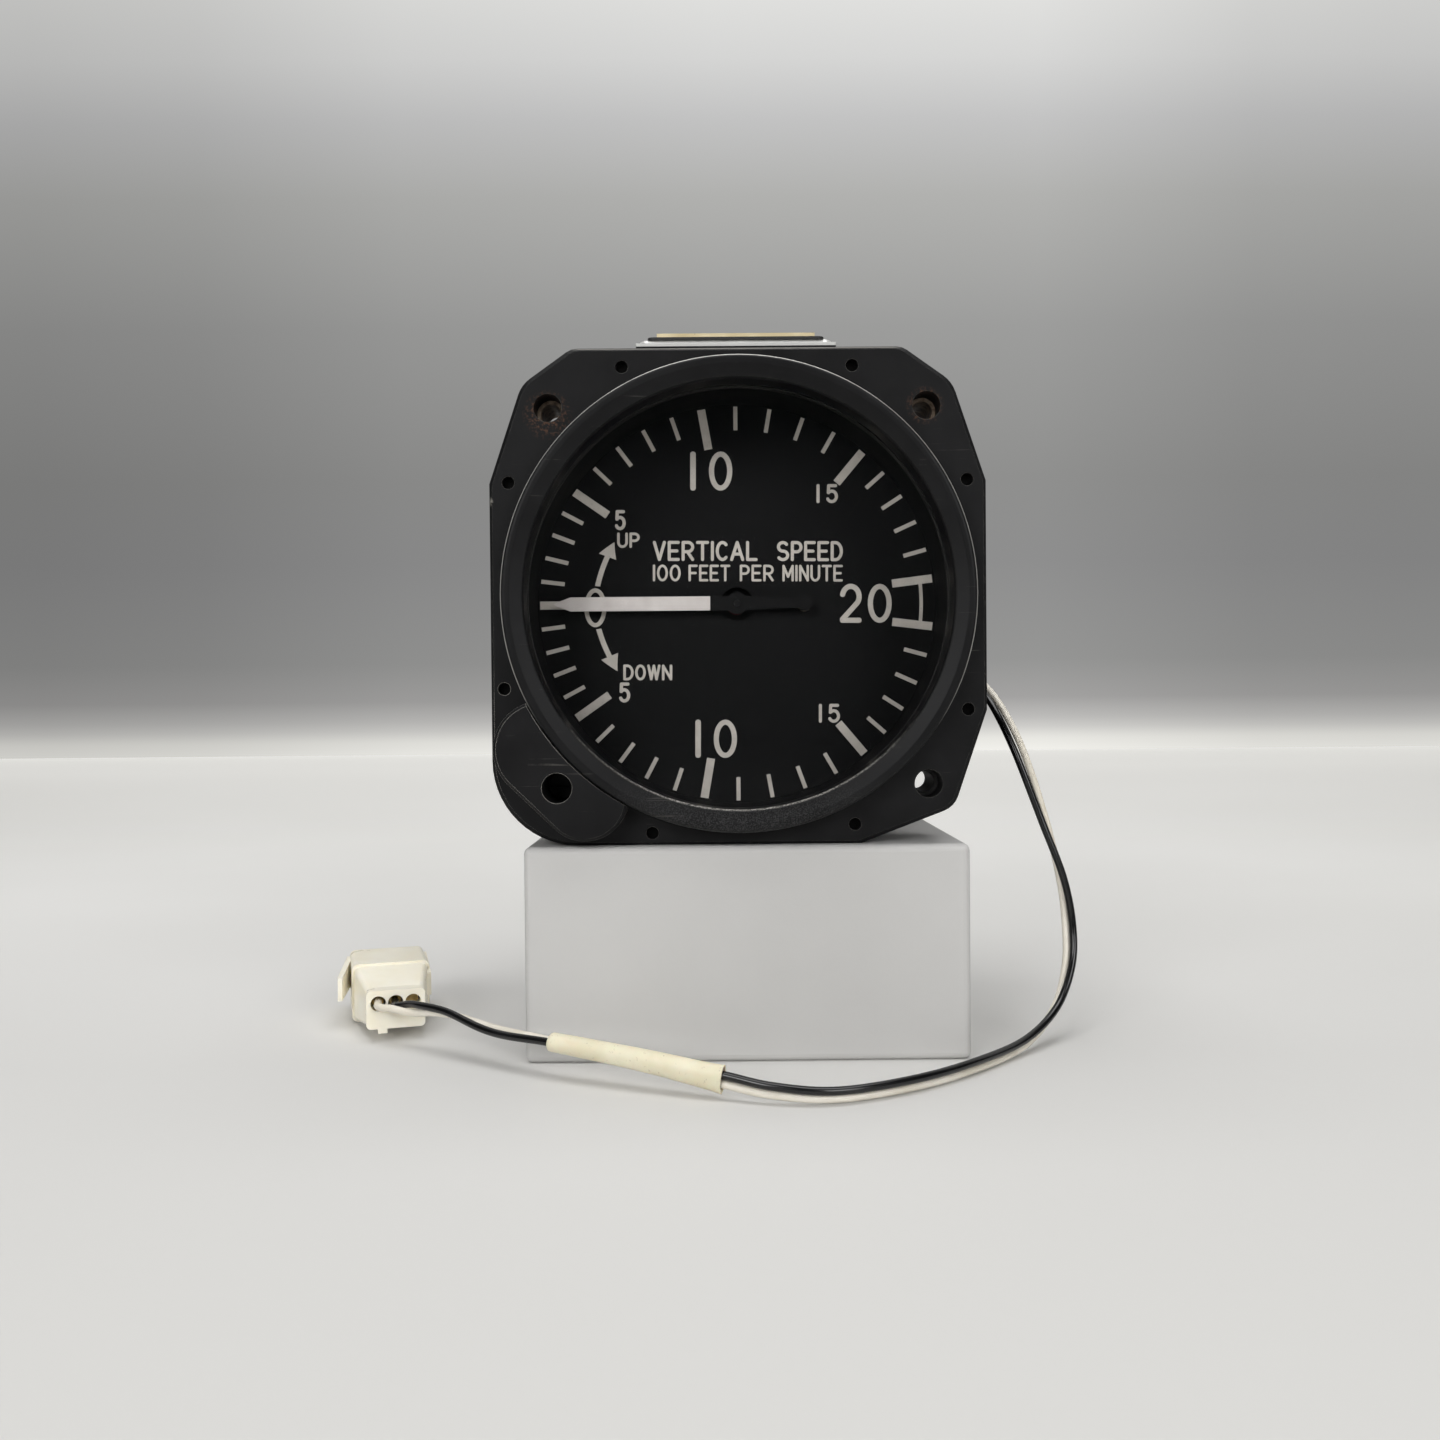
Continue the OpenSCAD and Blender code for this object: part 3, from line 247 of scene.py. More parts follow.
# --- Lighting lead: two wires ---
# A black and a white hook-up wire, 22 gauge with vinyl extruded over stranded copper. They leave the
# rear cover together, fall to the table, run round the front and end in the plug.
def quads(rows, columns, around=False, closed=False):
    """Four corner numbers of each cell of a grid of rows by columns, read row by row.
    around joins the last column to the first, and closed the last row to the first."""
    r = np.arange(rows if closed else rows - 1)[:, None]
    c = np.arange(columns if around else columns - 1)[None, :]
    r2, c2 = (r + 1) % rows, (c + 1) % columns
    cells = [r * columns + c, r * columns + c2, r2 * columns + c2, r2 * columns + c]
    return np.stack(cells, -1).reshape(-1, 4)


# Each row is a point on the lead's middle, then the way from there to the black wire
lead_points = np.array([
    [[22, 68.4, 2], [-0.7, 0, 0]], [[22, 72, 2], [-0.7, 0, 0]], [[29, 79, -1], [-0.5, -0.5, 0]],
    [[36, 77, -4], [-0.5, -0.5, 0]], [[42, 69, -7], [-0.7, 0, 0]], [[45, 55, -10], [-0.7, 0, 0]],
    [[46, 35, -13.5], [-0.7, 0, 0]], [[47.4, 23, -18], [-0.7, 0, 0]],
    [[50.6, 18, -26.5], [-0.7, 0, -0.2]], [[54.8, 17, -39], [-0.5, -0.5, 0]],
    [[57.9, 16, -50], [0.2, -0.7, 0]], [[58.9, 15, -58.6], [0.5, -0.5, 0]],
    [[58.1, 13, -65.3], [0.4, -0.5, 0.2]], [[54.6, 9, -71.6], [0.1, -0.6, 0.3]],
    [[47, 0.5, -75.3], [0, -0.4, 0.6]], [[35, -12, -75.7], [0, -0.3, 0.62]],
    [[24, -20.3, -75.7], [0, -0.3, 0.62]], [[13, -24.8, -75.7], [0, -0.3, 0.62]],
    [[4, -24.5, -75.1], [0, -0.2, 0.65]], [[-3.4, -22, -74.1], [0, -0.15, 0.68]],
    [[-15.6, -17, -72.5], [-0.2, -0.5, 0.4]], [[-30.4, -10, -71.4], [-0.3, -0.65, 0.1]],
    [[-40.8, -3, -71.3], [-0.4, -0.6, -0.1]], [[-50.4, 4, -69.9], [0.1, -0.6, 0.3]],
    [[-58, 9, -70.3], [0.65, -0.2, 0.3]], [[-62.1, 11.6, -70.6], [1.3, 0.4, 0]],
    [[-62.9, 14, -70.5], [1.43, 0.45, 0]], [[-63.5, 16, -70.5], [1.43, 0.45, 0]]]) * mm
last_row = len(lead_points) - 1
wire_d, wire_gap = 1.3 * mm, 0.07 * mm
wire_rows, wire_sides = 420, 14


def along_lead(u, k):
    """Catmull-Rom curve through the lead's rows at parameter u, by half the sum of 2b, (c - a) t,
    (2a - 5b + 4c - d) t^2 and (3b - a - 3c + d) t^3. k is 0 for the middle and 1 for the side."""
    i = np.minimum(last_row - 1, np.floor(u)).astype(int)
    t = (u - i)[:, None]
    a, b, c, d = [lead_points[np.clip(i + j, 0, last_row), k] for j in (-1, 0, 1, 2)]
    return 0.5 * (2 * b + (c - a) * t + (2 * a - 5 * b + 4 * c - d) * t**2 + (3 * b - a - 3 * c + d) * t**3)


def unit(v):
    """Each row of v divided by its length."""
    return v / np.linalg.norm(v, axis=-1, keepdims=True)


def lead_way(u):
    """The lead's direction at u, from points a twentieth of a row apart on either side."""
    ends = np.minimum(u + 0.05, last_row), np.maximum(u - 0.05, 0)
    way = unit(along_lead(ends[0], 0) - along_lead(ends[1], 0))
    way[u < 0.1] = unit(lead_points[1, 0] - lead_points[0, 0])
    return way


def lead_side(u):
    """From the lead's middle to the black wire's middle: square to the lead, and never nearer
    than half a wire and a gap."""
    side, way = along_lead(u, 1), lead_way(u)
    side = side - (side * way).sum(-1, keepdims=True) * way
    far = np.maximum(np.linalg.norm(side, axis=-1, keepdims=True), wire_d / 2 + wire_gap)
    return unit(side) * far


def rings(middle, way, across, wide, high, count):
    """A ring of count points round each middle, at wide cos a along across, which is made square
    to the way, and high sin a along their cross product."""
    x = unit(across - (across * way).sum(-1, keepdims=True) * way)
    y = np.cross(way, x)
    a = 2 * np.pi * (np.arange(count) + 0.5) / count
    wide, high = np.broadcast_to(wide, len(middle)), np.broadcast_to(high, len(middle))
    return (middle[:, None] + (wide[:, None] * np.cos(a))[..., None] * x[:, None]
            + (high[:, None] * np.sin(a))[..., None] * y[:, None])


# Extruded vinyl is as smooth as its die: narrow highlights run along the black, softer ones along
# the white. Its real grain is too fine to show, and is drawn 0.5 mm wide.
black_vinyl = coated(
    "shiny black vinyl", "#09090a", "#141415", rough=0.2, grain=0.5, deep=0.004, patch=5)[0]
white_vinyl = coated(
    "smooth white vinyl", "#ddd6c6", "#ece6da", rough=0.36, grain=0.5, deep=0.004, patch=7)[0]
u = np.linspace(0, last_row, wire_rows)
lead = {}
for name, sign, length, slot, material in (
        ("wire_black", 1, 0.28464, "insulation_black", black_vinyl),
        ("wire_white", -1, 0.28754, "insulation_white", white_vinyl)):
    middle = along_lead(u, 0) + sign * lead_side(u)
    tube = rings(middle, lead_way(u), lead_side(u), wire_d / 2, wire_d / 2, wire_sides)
    skin = quads(wire_rows, wire_sides, around=True)[:, ::-1].tolist()
    ends = [list(range(wire_sides)), list(range(wire_rows * wire_sides))[::-1][:wire_sides]]
    made = piece("lead_" + name, tube, skin + ends, material, "instrument")
    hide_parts(name)
    lead[name] = (made, middle, length)


# --- Sleeve ---
# Cream vinyl sleeving slipped over both wires. It grips them at the left and is pressed open at its
# right end, where they come out.
def specks(tree, place, size, low, high, within=1.0):
    """A mask of scattered specks of about size mm, strongest 1 or as a mask or number within says:
    noise from low up to high becomes 0 to 1, times within."""
    noise = add(tree, "TexNoise", {
        "Vector": place, "Scale": 1000 / size, "Detail": 5, "Roughness": 0.65})
    spots = add(tree, "MapRange", {"Value": noise, "From Min": low, "From Max": high})
    return add(tree, "Math", {0: spots, 1: within}, operation="MULTIPLY")


right_row, left_row, sleeve_rows, sleeve_sides = 19, 21, 90, 40
right_tall, left_tall, right_deep, left_deep, wall = 2.25, 1.5, 1.15, 1.7, 0.28 * mm
u = np.linspace(right_row, left_row, sleeve_rows)
part = np.linspace(0, 1, sleeve_rows) ** 0.6
tall = (right_tall + (left_tall - right_tall) * part) * mm
deep = (right_deep + (left_deep - right_deep) * part) * mm
up = np.broadcast_to(np.array([0.0, 0.0, 1.0]), (sleeve_rows, 3))
outer = rings(along_lead(u, 0), lead_way(u), up, tall, deep, sleeve_sides)
inner = rings(along_lead(u, 0), lead_way(u), up, tall - wall, deep - wall, sleeve_sides)
skin = np.concatenate([outer, inner[::-1]])

# Old cream vinyl lets a little light in, shines softly and holds brown grime in its pores
sleeve_mat, tree, shader, place = coated(
    "cream vinyl sleeving", "#e0d6b9", "#ebe2c9", rough=0.42, grain=0.6, deep=0.006, patch=5,
    Subsurface_Weight=0.15, Subsurface_Scale=0.001)
grime = specks(tree, place, 0.8, 0.62, 0.72, within=0.5)
feed(tree, shader, Base_Color=add(
    tree, "Mix", {"Factor": grime, 6: base_of(shader), 7: "#8f8260"}, 2, data_type="RGBA"))
sleeve = piece("sleeve", skin, quads(2 * sleeve_rows, sleeve_sides, around=True, closed=True)[:, ::-1],
               sleeve_mat, "instrument")
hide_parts("lead_sleeve")

# --- Plug ---
# A three-way connector housing, moulded in one with its two latch ears, and the pressed contacts
# in its cavities. The black and the white wire use two of them, and the third is open.

# Natural nylon is milky: light goes a little way in and comes out warm at the thin walls
nylon_mat, tree, shader, place = coated(
    "natural nylon moulding", "#f9f1dc", "#fdf7e6", rough=0.3, grain=1.2, deep=0.004, patch=6,
    Subsurface_Weight=0.2, Subsurface_Scale=0.002)
shader.inputs["Subsurface Radius"].default_value = (1.0, 0.85, 0.6)


def dress(material, *names):
    """The CAD nodes of these names take that material alone."""
    for name in names:
        mesh = nodes[name].data
        mesh.materials.clear()
        mesh.materials.append(material)


dress(nylon_mat, "plug_housing")


def metal(name, bright, dull, rough, patch):
    """A worked metal. Its colour runs from bright to dull in patches of patch mm, and its roughness
    varies with them from 0.85 to 1.25 of rough. Marks 0.002 mm deep cross it, drawn 1.1 mm long and
    0.2 mm wide because real ones are too fine to show."""
    made, tree, shader, place = finish_of(name, Metallic=1.0)
    stain = add(tree, "TexNoise", {"Vector": place, "Scale": 1000 / patch, "Detail": 5})
    along = add(tree, "Mapping", {"Vector": place, "Scale": (900, 900, 5000)})
    marks = add(tree, "TexNoise", {"Vector": along, "Scale": 1, "Detail": 3})
    feed(tree, shader,
         Base_Color=add(tree, "ValToRGB", {"Fac": stain}, stops=[(0.4, bright), (0.7, dull)]),
         Roughness=add(tree, "MapRange", {
             "Value": stain, "From Min": 0.3, "From Max": 0.7,
             "To Min": rough * 0.85, "To Max": rough * 1.25}),
         Normal=add(tree, "Bump", {"Height": marks, "Distance": 0.002 * mm}))
    return made


# Tin over pressed brass looks a dull pale gold
dress(metal("tinned brass", "#a08a5a", "#6d5c3c", rough=0.35, patch=1.5), "plug_contacts")
for name, riders in (
        ("wire_black", [nodes["plug_housing"], sleeve]), ("wire_white", [nodes["plug_contacts"]])):
    made, middle, length = lead[name]


# --- Flange casting ---
# Die-cast aluminium, square with cut corners, under baked black enamel. Steel nut inserts stand at
# the bottom of its three mounting holes, and handling has worn its edges.
def near(tree, place, at, full, none, most=1):
    """A mask that is most within full mm of a point in mm and falls to 0 at none mm."""
    gap = add(tree, "VectorMath", {0: place, 1: tuple(c * mm for c in at)}, "Value", operation="DISTANCE")
    return add(tree, "MapRange", {
        "Value": gap, "From Min": full * mm, "From Max": none * mm, "To Min": most, "To Max": 0})


def worn_edge(tree, width, most=1):
    """A mask along sharp edges width mm broad: how far a rounded normal turns from the true one,
    from 0 at a dot product of 0.97 to most at 0.86."""
    round_way = add(tree, "Bevel", {"Radius": width * mm}, samples=6)
    true_way = add(tree, "NewGeometry", give="Normal")
    turn = add(tree, "VectorMath", {0: round_way, 1: true_way}, "Value", operation="DOT_PRODUCT")
    return add(tree, "MapRange", {"Value": turn, "From Min": 0.97, "From Max": 0.86, "To Max": most})


def edged(tree, shader, radius):
    """Rounds every sharp edge for the eye over radius mm, under the bumps that are there already."""
    bump = shader.inputs["Normal"].links[0].from_node
    round_way = add(tree, "Bevel", {"Radius": radius * mm}, samples=6)
    tree.links.new(round_way, bump.inputs["Normal"])


def enamel(name, dark, pale, rough):
    """Baked black enamel: a satin black whose orange peel of 0.35 mm breaks the highlights. Hair
    scratches cross it here and there, drawn 0.4 mm wide because real ones are too fine to show,
    and it is thin and greyer along the edges, which are rounded."""
    made, tree, shader, place = coated(
        name, dark, pale, rough, grain=0.35, deep=0.012, patch=9, Specular_IOR_Level=0.13)
    along = add(tree, "Mapping", {"Vector": place, "Rotation": (0, 0.6, 0), "Scale": (60, 60, 2500)})
    hair = add(tree, "TexNoise", {"Vector": along, "Scale": 1, "Detail": 2})
    hair = add(tree, "MapRange", {"Value": hair, "From Min": 0.66, "From Max": 0.72, "To Max": 0.5})
    hair = specks(tree, place, 9, 0.5, 0.62, within=hair)
    colour = add(tree, "Mix", {"Factor": hair, 6: base_of(shader), 7: "#55534f"}, 2, data_type="RGBA")
    thin = specks(tree, place, 3, 0.25, 0.5, within=worn_edge(tree, 0.15, most=0.35))
    feed(tree, shader, Base_Color=add(
        tree, "Mix", {"Factor": thin, 6: colour, 7: "#a5a29b"}, 2, data_type="RGBA"))
    edged(tree, shader, 0.3)
    return made, tree, shader, place


flange_half = 41.3
cast_mat, tree, shader, place = enamel("black enamelled casting", "#0f0f10", "#171718", rough=0.5)
x, y, z = (add(tree, "SeparateXYZ", {"Vector": place}, axis) for axis in "XYZ")

# Its four sides show bright aluminium in specks next to the front face, where the enamel is rubbed
# through. All along the top, next to the front face, runs a pale line that is a painted highlight.
# Two chips lie on the left and the right side.
sideways, upwards = (add(tree, "Math", {0: way}, operation="ABSOLUTE") for way in (x, z))
outermost = add(tree, "Math", {0: sideways, 1: upwards}, operation="MAXIMUM")
rim = specks(tree, place, 1.1, 0.58, 0.66, within=add(tree, "MapRange", {
    "Value": outermost, "From Min": (flange_half - 0.4) * mm, "From Max": (flange_half - 0.05) * mm,
    "To Max": 0.4}))
left_chip = near(tree, place, (-41.45, 0.2, 16.0), 0.35, 0.95, most=0.7)
right_chip = near(tree, place, (41.45, 0.2, 20.3), 0.3, 0.8, most=0.7)
chips = add(tree, "Math", {0: left_chip, 1: right_chip}, operation="MAXIMUM")
chips = specks(tree, place, 0.7, 0.44, 0.5, within=chips)
# The pale line along the top is a painted highlight
worn_and_top_highlight = add(tree, "MapRange", {
    "Value": z, "From Min": (flange_half - 0.32) * mm, "From Max": (flange_half - 0.2) * mm})
for mask in (chips, rim):
    worn_and_top_highlight = add(tree, "Math", {0: worn_and_top_highlight, 1: mask}, operation="MAXIMUM")
front = add(tree, "MapRange", {
    "Value": y, "From Min": 0.1 * mm, "From Max": 0.45 * mm, "To Min": 0.9, "To Max": 0})
worn_and_top_highlight = add(tree, "Math", {0: worn_and_top_highlight, 1: front}, operation="MULTIPLY")
colour = add(tree, "Mix", {"Factor": worn_and_top_highlight, 6: base_of(shader), 7: "#bab6ad"}, 2, data_type="RGBA")

# Rust has spread from the steel in the two upper holes as brown specks on the enamel
left_rust = near(tree, place, (-31.5, 0, 30.3), 2.3, 4.3)
right_rust = near(tree, place, (31.2, 0, 31.4), 2.1, 3.3)
rust = add(tree, "Math", {0: left_rust, 1: right_rust}, operation="MAXIMUM")
rust = specks(tree, place, 0.55, 0.5, 0.6, within=rust)
colour = add(tree, "Mix", {"Factor": rust, 6: colour, 7: "#50382a"}, 2, data_type="RGBA")

# The outline of the petal boss has a thin pale line, a painted highlight
petal_edge_highlight = add(tree, "Math", {
    0: worn_edge(tree, 0.2), 1: near(tree, place, (-38, 0, -25), 7, 18)}, operation="MULTIPLY")
feed(tree, shader, Base_Color=add(
    tree, "Mix", {"Factor": petal_edge_highlight, 6: colour, 7: "#b5b2ab"}, 2, data_type="RGBA"))
dress(cast_mat, "bezel_flange")

# The upper two inserts have rusted to a rough brown with pale scale, the lower one is near black
insert_mat, tree, shader, place = coated(
    "rusted steel", "#5e4a39", "#a3917e", rough=0.6, grain=0.3, deep=0.03, patch=0.9)
upper = add(tree, "MapRange", {"Value": add(tree, "SeparateXYZ", {"Vector": place}, "Z"), "From Max": mm})
feed(tree, shader, Base_Color=add(
    tree, "Mix", {"Factor": upper, 6: "#1d1c1b", 7: base_of(shader)}, 2, data_type="RGBA"))
dress(insert_mat, "lug_inserts")

# --- Bezel ring ---
# A turned aluminium ring in the same enamel, seated in the flange. Grey specks at its foot are grit
# with painted light on the lower dish, and years of wiping have rubbed its inner edge there to a
# broken pale line.
inner_r, outer_r, inner_y, outer_y = 35.4, 38.79, -3.6, -4.25
ring_mat, tree, shader, place = enamel("black enamelled ring", "#0f0f10", "#161617", rough=0.42)
x, y, z = (add(tree, "SeparateXYZ", {"Vector": place}, axis) for axis in "XYZ")
radius = add(tree, "VectorMath", {0: add(tree, "CombineXYZ", {0: x, 1: z})}, "Value", operation="LENGTH")
# Grey specks towards the foot: grit, and painted light on the upward-facing dish
foot = add(tree, "MapRange", {
    "Value": z, "From Min": -37 * mm, "From Max": -30 * mm, "To Min": 1, "To Max": 0})
grit_and_painted_light = specks(tree, place, 0.22, 0.46, 0.62, within=foot)
colour = add(tree, "Mix", {"Factor": grit_and_painted_light, 6: base_of(shader), 7: "#363636"}, 2, data_type="RGBA")
low = add(tree, "MapRange", {
    "Value": z, "From Min": -35 * mm, "From Max": -20 * mm, "To Min": 1, "To Max": 0})
lip = add(tree, "MapRange", {
    "Value": radius, "From Min": (inner_r - 0.1) * mm, "From Max": (inner_r + 0.1) * mm,
    "To Min": 1, "To Max": 0})
front = add(tree, "MapRange", {
    "Value": y, "From Min": (inner_y - 0.2) * mm, "From Max": (inner_y + 0.2) * mm,
    "To Min": 1, "To Max": 0})
worn = specks(tree, place, 0.3, 0.4, 0.62)
for mask in (lip, front, low):
    worn = add(tree, "Math", {0: worn, 1: mask}, operation="MULTIPLY")
colour = add(tree, "Mix", {"Factor": worn, 6: colour, 7: "#b9b6b0"}, 2, data_type="RGBA")

# Its outer corner is a bright metal line, all but the lower third: a painted highlight of the light above
corner = add(tree, "MapRange", {
    "Value": radius, "From Min": (outer_r - 0.07) * mm, "From Max": (outer_r + 0.07) * mm})
high = add(tree, "MapRange", {"Value": z, "From Min": -22 * mm, "From Max": -8 * mm})
front = add(tree, "MapRange", {
    "Value": y, "From Min": (outer_y - 0.1) * mm, "From Max": (outer_y + 0.1) * mm,
    "To Min": 1, "To Max": 0})
# Where the painted highlight lies on the corner
polished = specks(tree, place, 4, 0.2, 0.4)
for mask in (corner, high, front):
    polished = add(tree, "Math", {0: polished, 1: mask}, operation="MULTIPLY")
feed(tree, shader,
     Base_Color=add(tree, "Mix", {"Factor": polished, 6: colour, 7: "#d2d0cb"}, 2, data_type="RGBA"),
     Metallic=add(tree, "Math", {0: polished, 1: 0.9}, operation="MULTIPLY"))
dress(ring_mat, "bezel_ring")

# --- Cover glass and what seals it ---
# Flat mineral glass, held by a dark slip washer in front and a rubber gasket behind. The other
# gaskets and the lead's grommet are of the same rubber.

# Glass shows little but a thin haze that comes and goes over 14 mm, and a soft reflection
glass_mat, tree, shader, place = coated(
    "flat cover glass", "#0d0f0f", "#151817", rough=0.03, grain=6, deep=0.0002, patch=20,
    Specular_IOR_Level=0.4)
table_glow_and_glass_haze = specks(tree, place, 14, 0.3, 0.8)
feed(tree, shader, Alpha=add(tree, "MapRange", {"Value": table_glow_and_glass_haze, "To Min": 0.05, "To Max": 0.08}))
dress(glass_mat, "cover_glass")

# Moulded rubber is a dull grey-black, and the washer's hard plastic has a little more shine
rubber_mat = coated(
    "moulded black rubber", "#191919", "#242423", rough=0.72, grain=0.4, deep=0.02, patch=3)[0]
dress(rubber_mat, "glass_gasket", "case_gasket", "rear_gasket", "lead_grommet")
washer_mat = coated(
    "smoked slip washer", "#232323", "#2e2d2c", rough=0.5, grain=0.5, deep=0.004, patch=4)[0]
dress(washer_mat, "slip_washer")

# --- Dial ---
# An aluminium disc behind the light ring and its spacer. Its words, numerals and arrows are single
# pen strokes printed 0.04 mm high, laid out as in the photograph.

# Matt black paint swallows the light, so the marks stand out; old ink has gone a warm grey, and
# here and there it is thin
dial_mat = coated(
    "matt black dial paint", "#0e0e0f", "#131314", rough=0.75, grain=0.25, deep=0.006, patch=12,
    Specular_IOR_Level=0.15)[0]
dress(dial_mat, "dial_plate", "dial_spacer", "dial_ring", "light_ring")
ink_mat, tree, shader, place = coated(
    "aged grey-white ink", "#cfc9c0", "#dcd6cd", rough=0.6, grain=0.3, deep=0.004, patch=2.5,
    Specular_IOR_Level=0.3)
faded = specks(tree, place, 0.4, 0.6, 0.75, within=0.5)
feed(tree, shader, Base_Color=add(
    tree, "Mix", {"Factor": faded, 6: base_of(shader), 7: "#6f6a62"}, 2, data_type="RGBA"))
dress(ink_mat, "dial_ticks")

# The marks were measured in the photograph, where the dial leans clockwise by this much
lean = math.radians(0.55)
upright = np.array([[math.cos(lean), -math.sin(lean)], [math.sin(lean), math.cos(lean)]])
dial_y = 17 * mm
ink_t = 0.04 * mm


def line(x0, y0, x1, y1):
    """Five points of a straight stroke from one place to another, in shares of the letter's box."""
    return np.linspace((x0, y0), (x1, y1), 5)


def bow(cx, cy, rx, ry, a0, a1):
    """28 points of an ellipse's arc between two angles in degrees, in shares of the letter's box:
    the middle plus rx cos a and ry sin a."""
    a = np.radians(np.linspace(a0, a1, 28))
    return np.stack([cx + rx * np.cos(a), cy + ry * np.sin(a)], -1)


# Each letter is its width against the others' and its strokes, each of one or more lines and bows
letters = {
    "0": (1.0, [[bow(0.5, 0.5, 0.5, 0.5, 90, 450)]]),
    "1": (0.0, [[line(0.5, 0, 0.5, 1)]]),
    "2": (1.0, [[bow(0.5, 0.70, 0.5, 0.30, 168, -30), line(0.90, 0.52, 0.0, 0.03)],
                [line(0, 0, 1, 0)]]),
    "5": (1.0, [[line(0.9, 1, 0.1, 1)], [line(0.1, 1, 0.06, 0.56)],
                [bow(0.46, 0.33, 0.54, 0.33, 135, -150)]]),
    "A": (1.1, [[line(0, 0, 0.5, 1)], [line(0.5, 1, 1, 0)], [line(0.18, 0.32, 0.82, 0.32)]]),
    "C": (0.95, [[bow(0.55, 0.5, 0.55, 0.5, 48, 312)]]),
    "D": (0.95, [[line(0, 0, 0, 1)],
                 [line(0, 1, 0.35, 1), bow(0.35, 0.5, 0.65, 0.5, 90, -90), line(0.35, 0, 0, 0)]]),
    "E": (0.9, [[line(0, 0, 0, 1)], [line(0, 1, 1, 1)], [line(0, 0.5, 0.85, 0.5)], [line(0, 0, 1, 0)]]),
    "F": (0.9, [[line(0, 0, 0, 1)], [line(0, 1, 1, 1)], [line(0, 0.5, 0.85, 0.5)]]),
    "I": (0.0, [[line(0.5, 0, 0.5, 1)]]),
    "L": (0.85, [[line(0, 0, 0, 1)], [line(0, 0, 1, 0)]]),
    "M": (1.15, [[line(0, 0, 0, 1)], [line(0, 1, 0.5, 0.25)], [line(0.5, 0.25, 1, 1)],
                 [line(1, 1, 1, 0)]]),
    "N": (0.95, [[line(0, 0, 0, 1)], [line(0, 1, 1, 0)], [line(1, 0, 1, 1)]]),
    "O": (1.0, [[bow(0.5, 0.5, 0.5, 0.5, 90, 450)]]),
    "P": (0.9, [[line(0, 0, 0, 1)],
                [line(0, 1, 0.5, 1), bow(0.5, 0.73, 0.5, 0.27, 90, -90), line(0.5, 0.46, 0, 0.46)]]),
    "S": (1.0, [[bow(0.5, 0.75, 0.46, 0.25, 35, 270), bow(0.5, 0.25, 0.5, 0.25, 90, -145)]]),
    "T": (1.0, [[line(0, 1, 1, 1)], [line(0.5, 1, 0.5, 0)]]),
    "U": (0.95, [[line(0, 1, 0, 0.35), bow(0.5, 0.35, 0.5, 0.35, 180, 360), line(1, 0.35, 1, 1)]]),
    "V": (1.0, [[line(0, 1, 0.5, 0)], [line(0.5, 0, 1, 1)]]),
    "W": (1.3, [[line(0, 1, 0.25, 0)], [line(0.25, 0, 0.5, 1)], [line(0.5, 1, 0.75, 0)],
                [line(0.75, 0, 1, 1)]]),
}
letters["R"] = (0.95, letters["P"][1] + [[line(0.45, 0.46, 1, 0)]])
letter_share, gap_share = 0.62, 0.3
cap_rows = 6


def ribbon(path, thick, lift):
    """A raised painted stroke of that thickness along a path in the dial's plane. At both ends the
    half width is the root of r squared less the distance squared past the path's end, so that the
    stroke ends round; a path that ends where it began is a ring without ends."""
    path = path[np.r_[True, np.linalg.norm(np.diff(path, axis=0), axis=1) > 1e-7]] @ upright
    r = thick / 2
    if np.linalg.norm(path[0] - path[-1]) < 1e-6:
        middle = path[:-1]
        ways = unit(np.roll(middle, -1, 0) - np.roll(middle, 1, 0))
        half = np.full(len(middle), r)
    else:
        way = unit(np.gradient(path, axis=0))
        cap = np.linspace(1, 0, cap_rows + 1)[:-1] * r
        middle = np.concatenate([
            path[0] - way[0] * cap[:, None], path, path[-1] + way[-1] * cap[::-1, None]])
        ways = np.concatenate([np.repeat(way[:1], cap_rows, 0), way, np.repeat(way[-1:], cap_rows, 0)])
        past = np.r_[cap, np.zeros(len(path)), cap[::-1]]
        half = np.sqrt(np.maximum(r**2 - past**2, (0.02 * r) ** 2))
    side = np.stack([-ways[:, 1], ways[:, 0]], -1) * half[:, None]
    left, right = middle + side, middle - side
    top, foot = dial_y - ink_t - lift, dial_y
    columns = [(left, foot), (left, top), (right, top), (right, foot)]
    return np.stack([np.column_stack([p[:, 0], np.full(len(p), y), p[:, 1]]) for p, y in columns], 1)


strokes = []


def write(text, x0, x1, z, high, thick):
    """A word on the dial between x0 and x1, with its middle at height z, all in mm. A letter's
    width is its own share, the gaps are all alike, and one scale makes the whole fit. A 1 that
    stands alone has no width, and any scale does."""
    widths = np.array([letters[c][0] * letter_share for c in text])
    total = widths.sum() + gap_share * (len(text) - 1)
    scale = (x1 - x0 - thick) / max(total, 0.1)
    x = x0 + thick / 2
    for c, w in zip(text, widths * scale):
        for stroke in letters[c][1]:
            path = np.concatenate(stroke)
            path = np.column_stack([
                x + path[:, 0] * w, z - (high - thick) / 2 + path[:, 1] * (high - thick)])
            strokes.append((path * mm, thick * mm))
        x += w + gap_share * scale


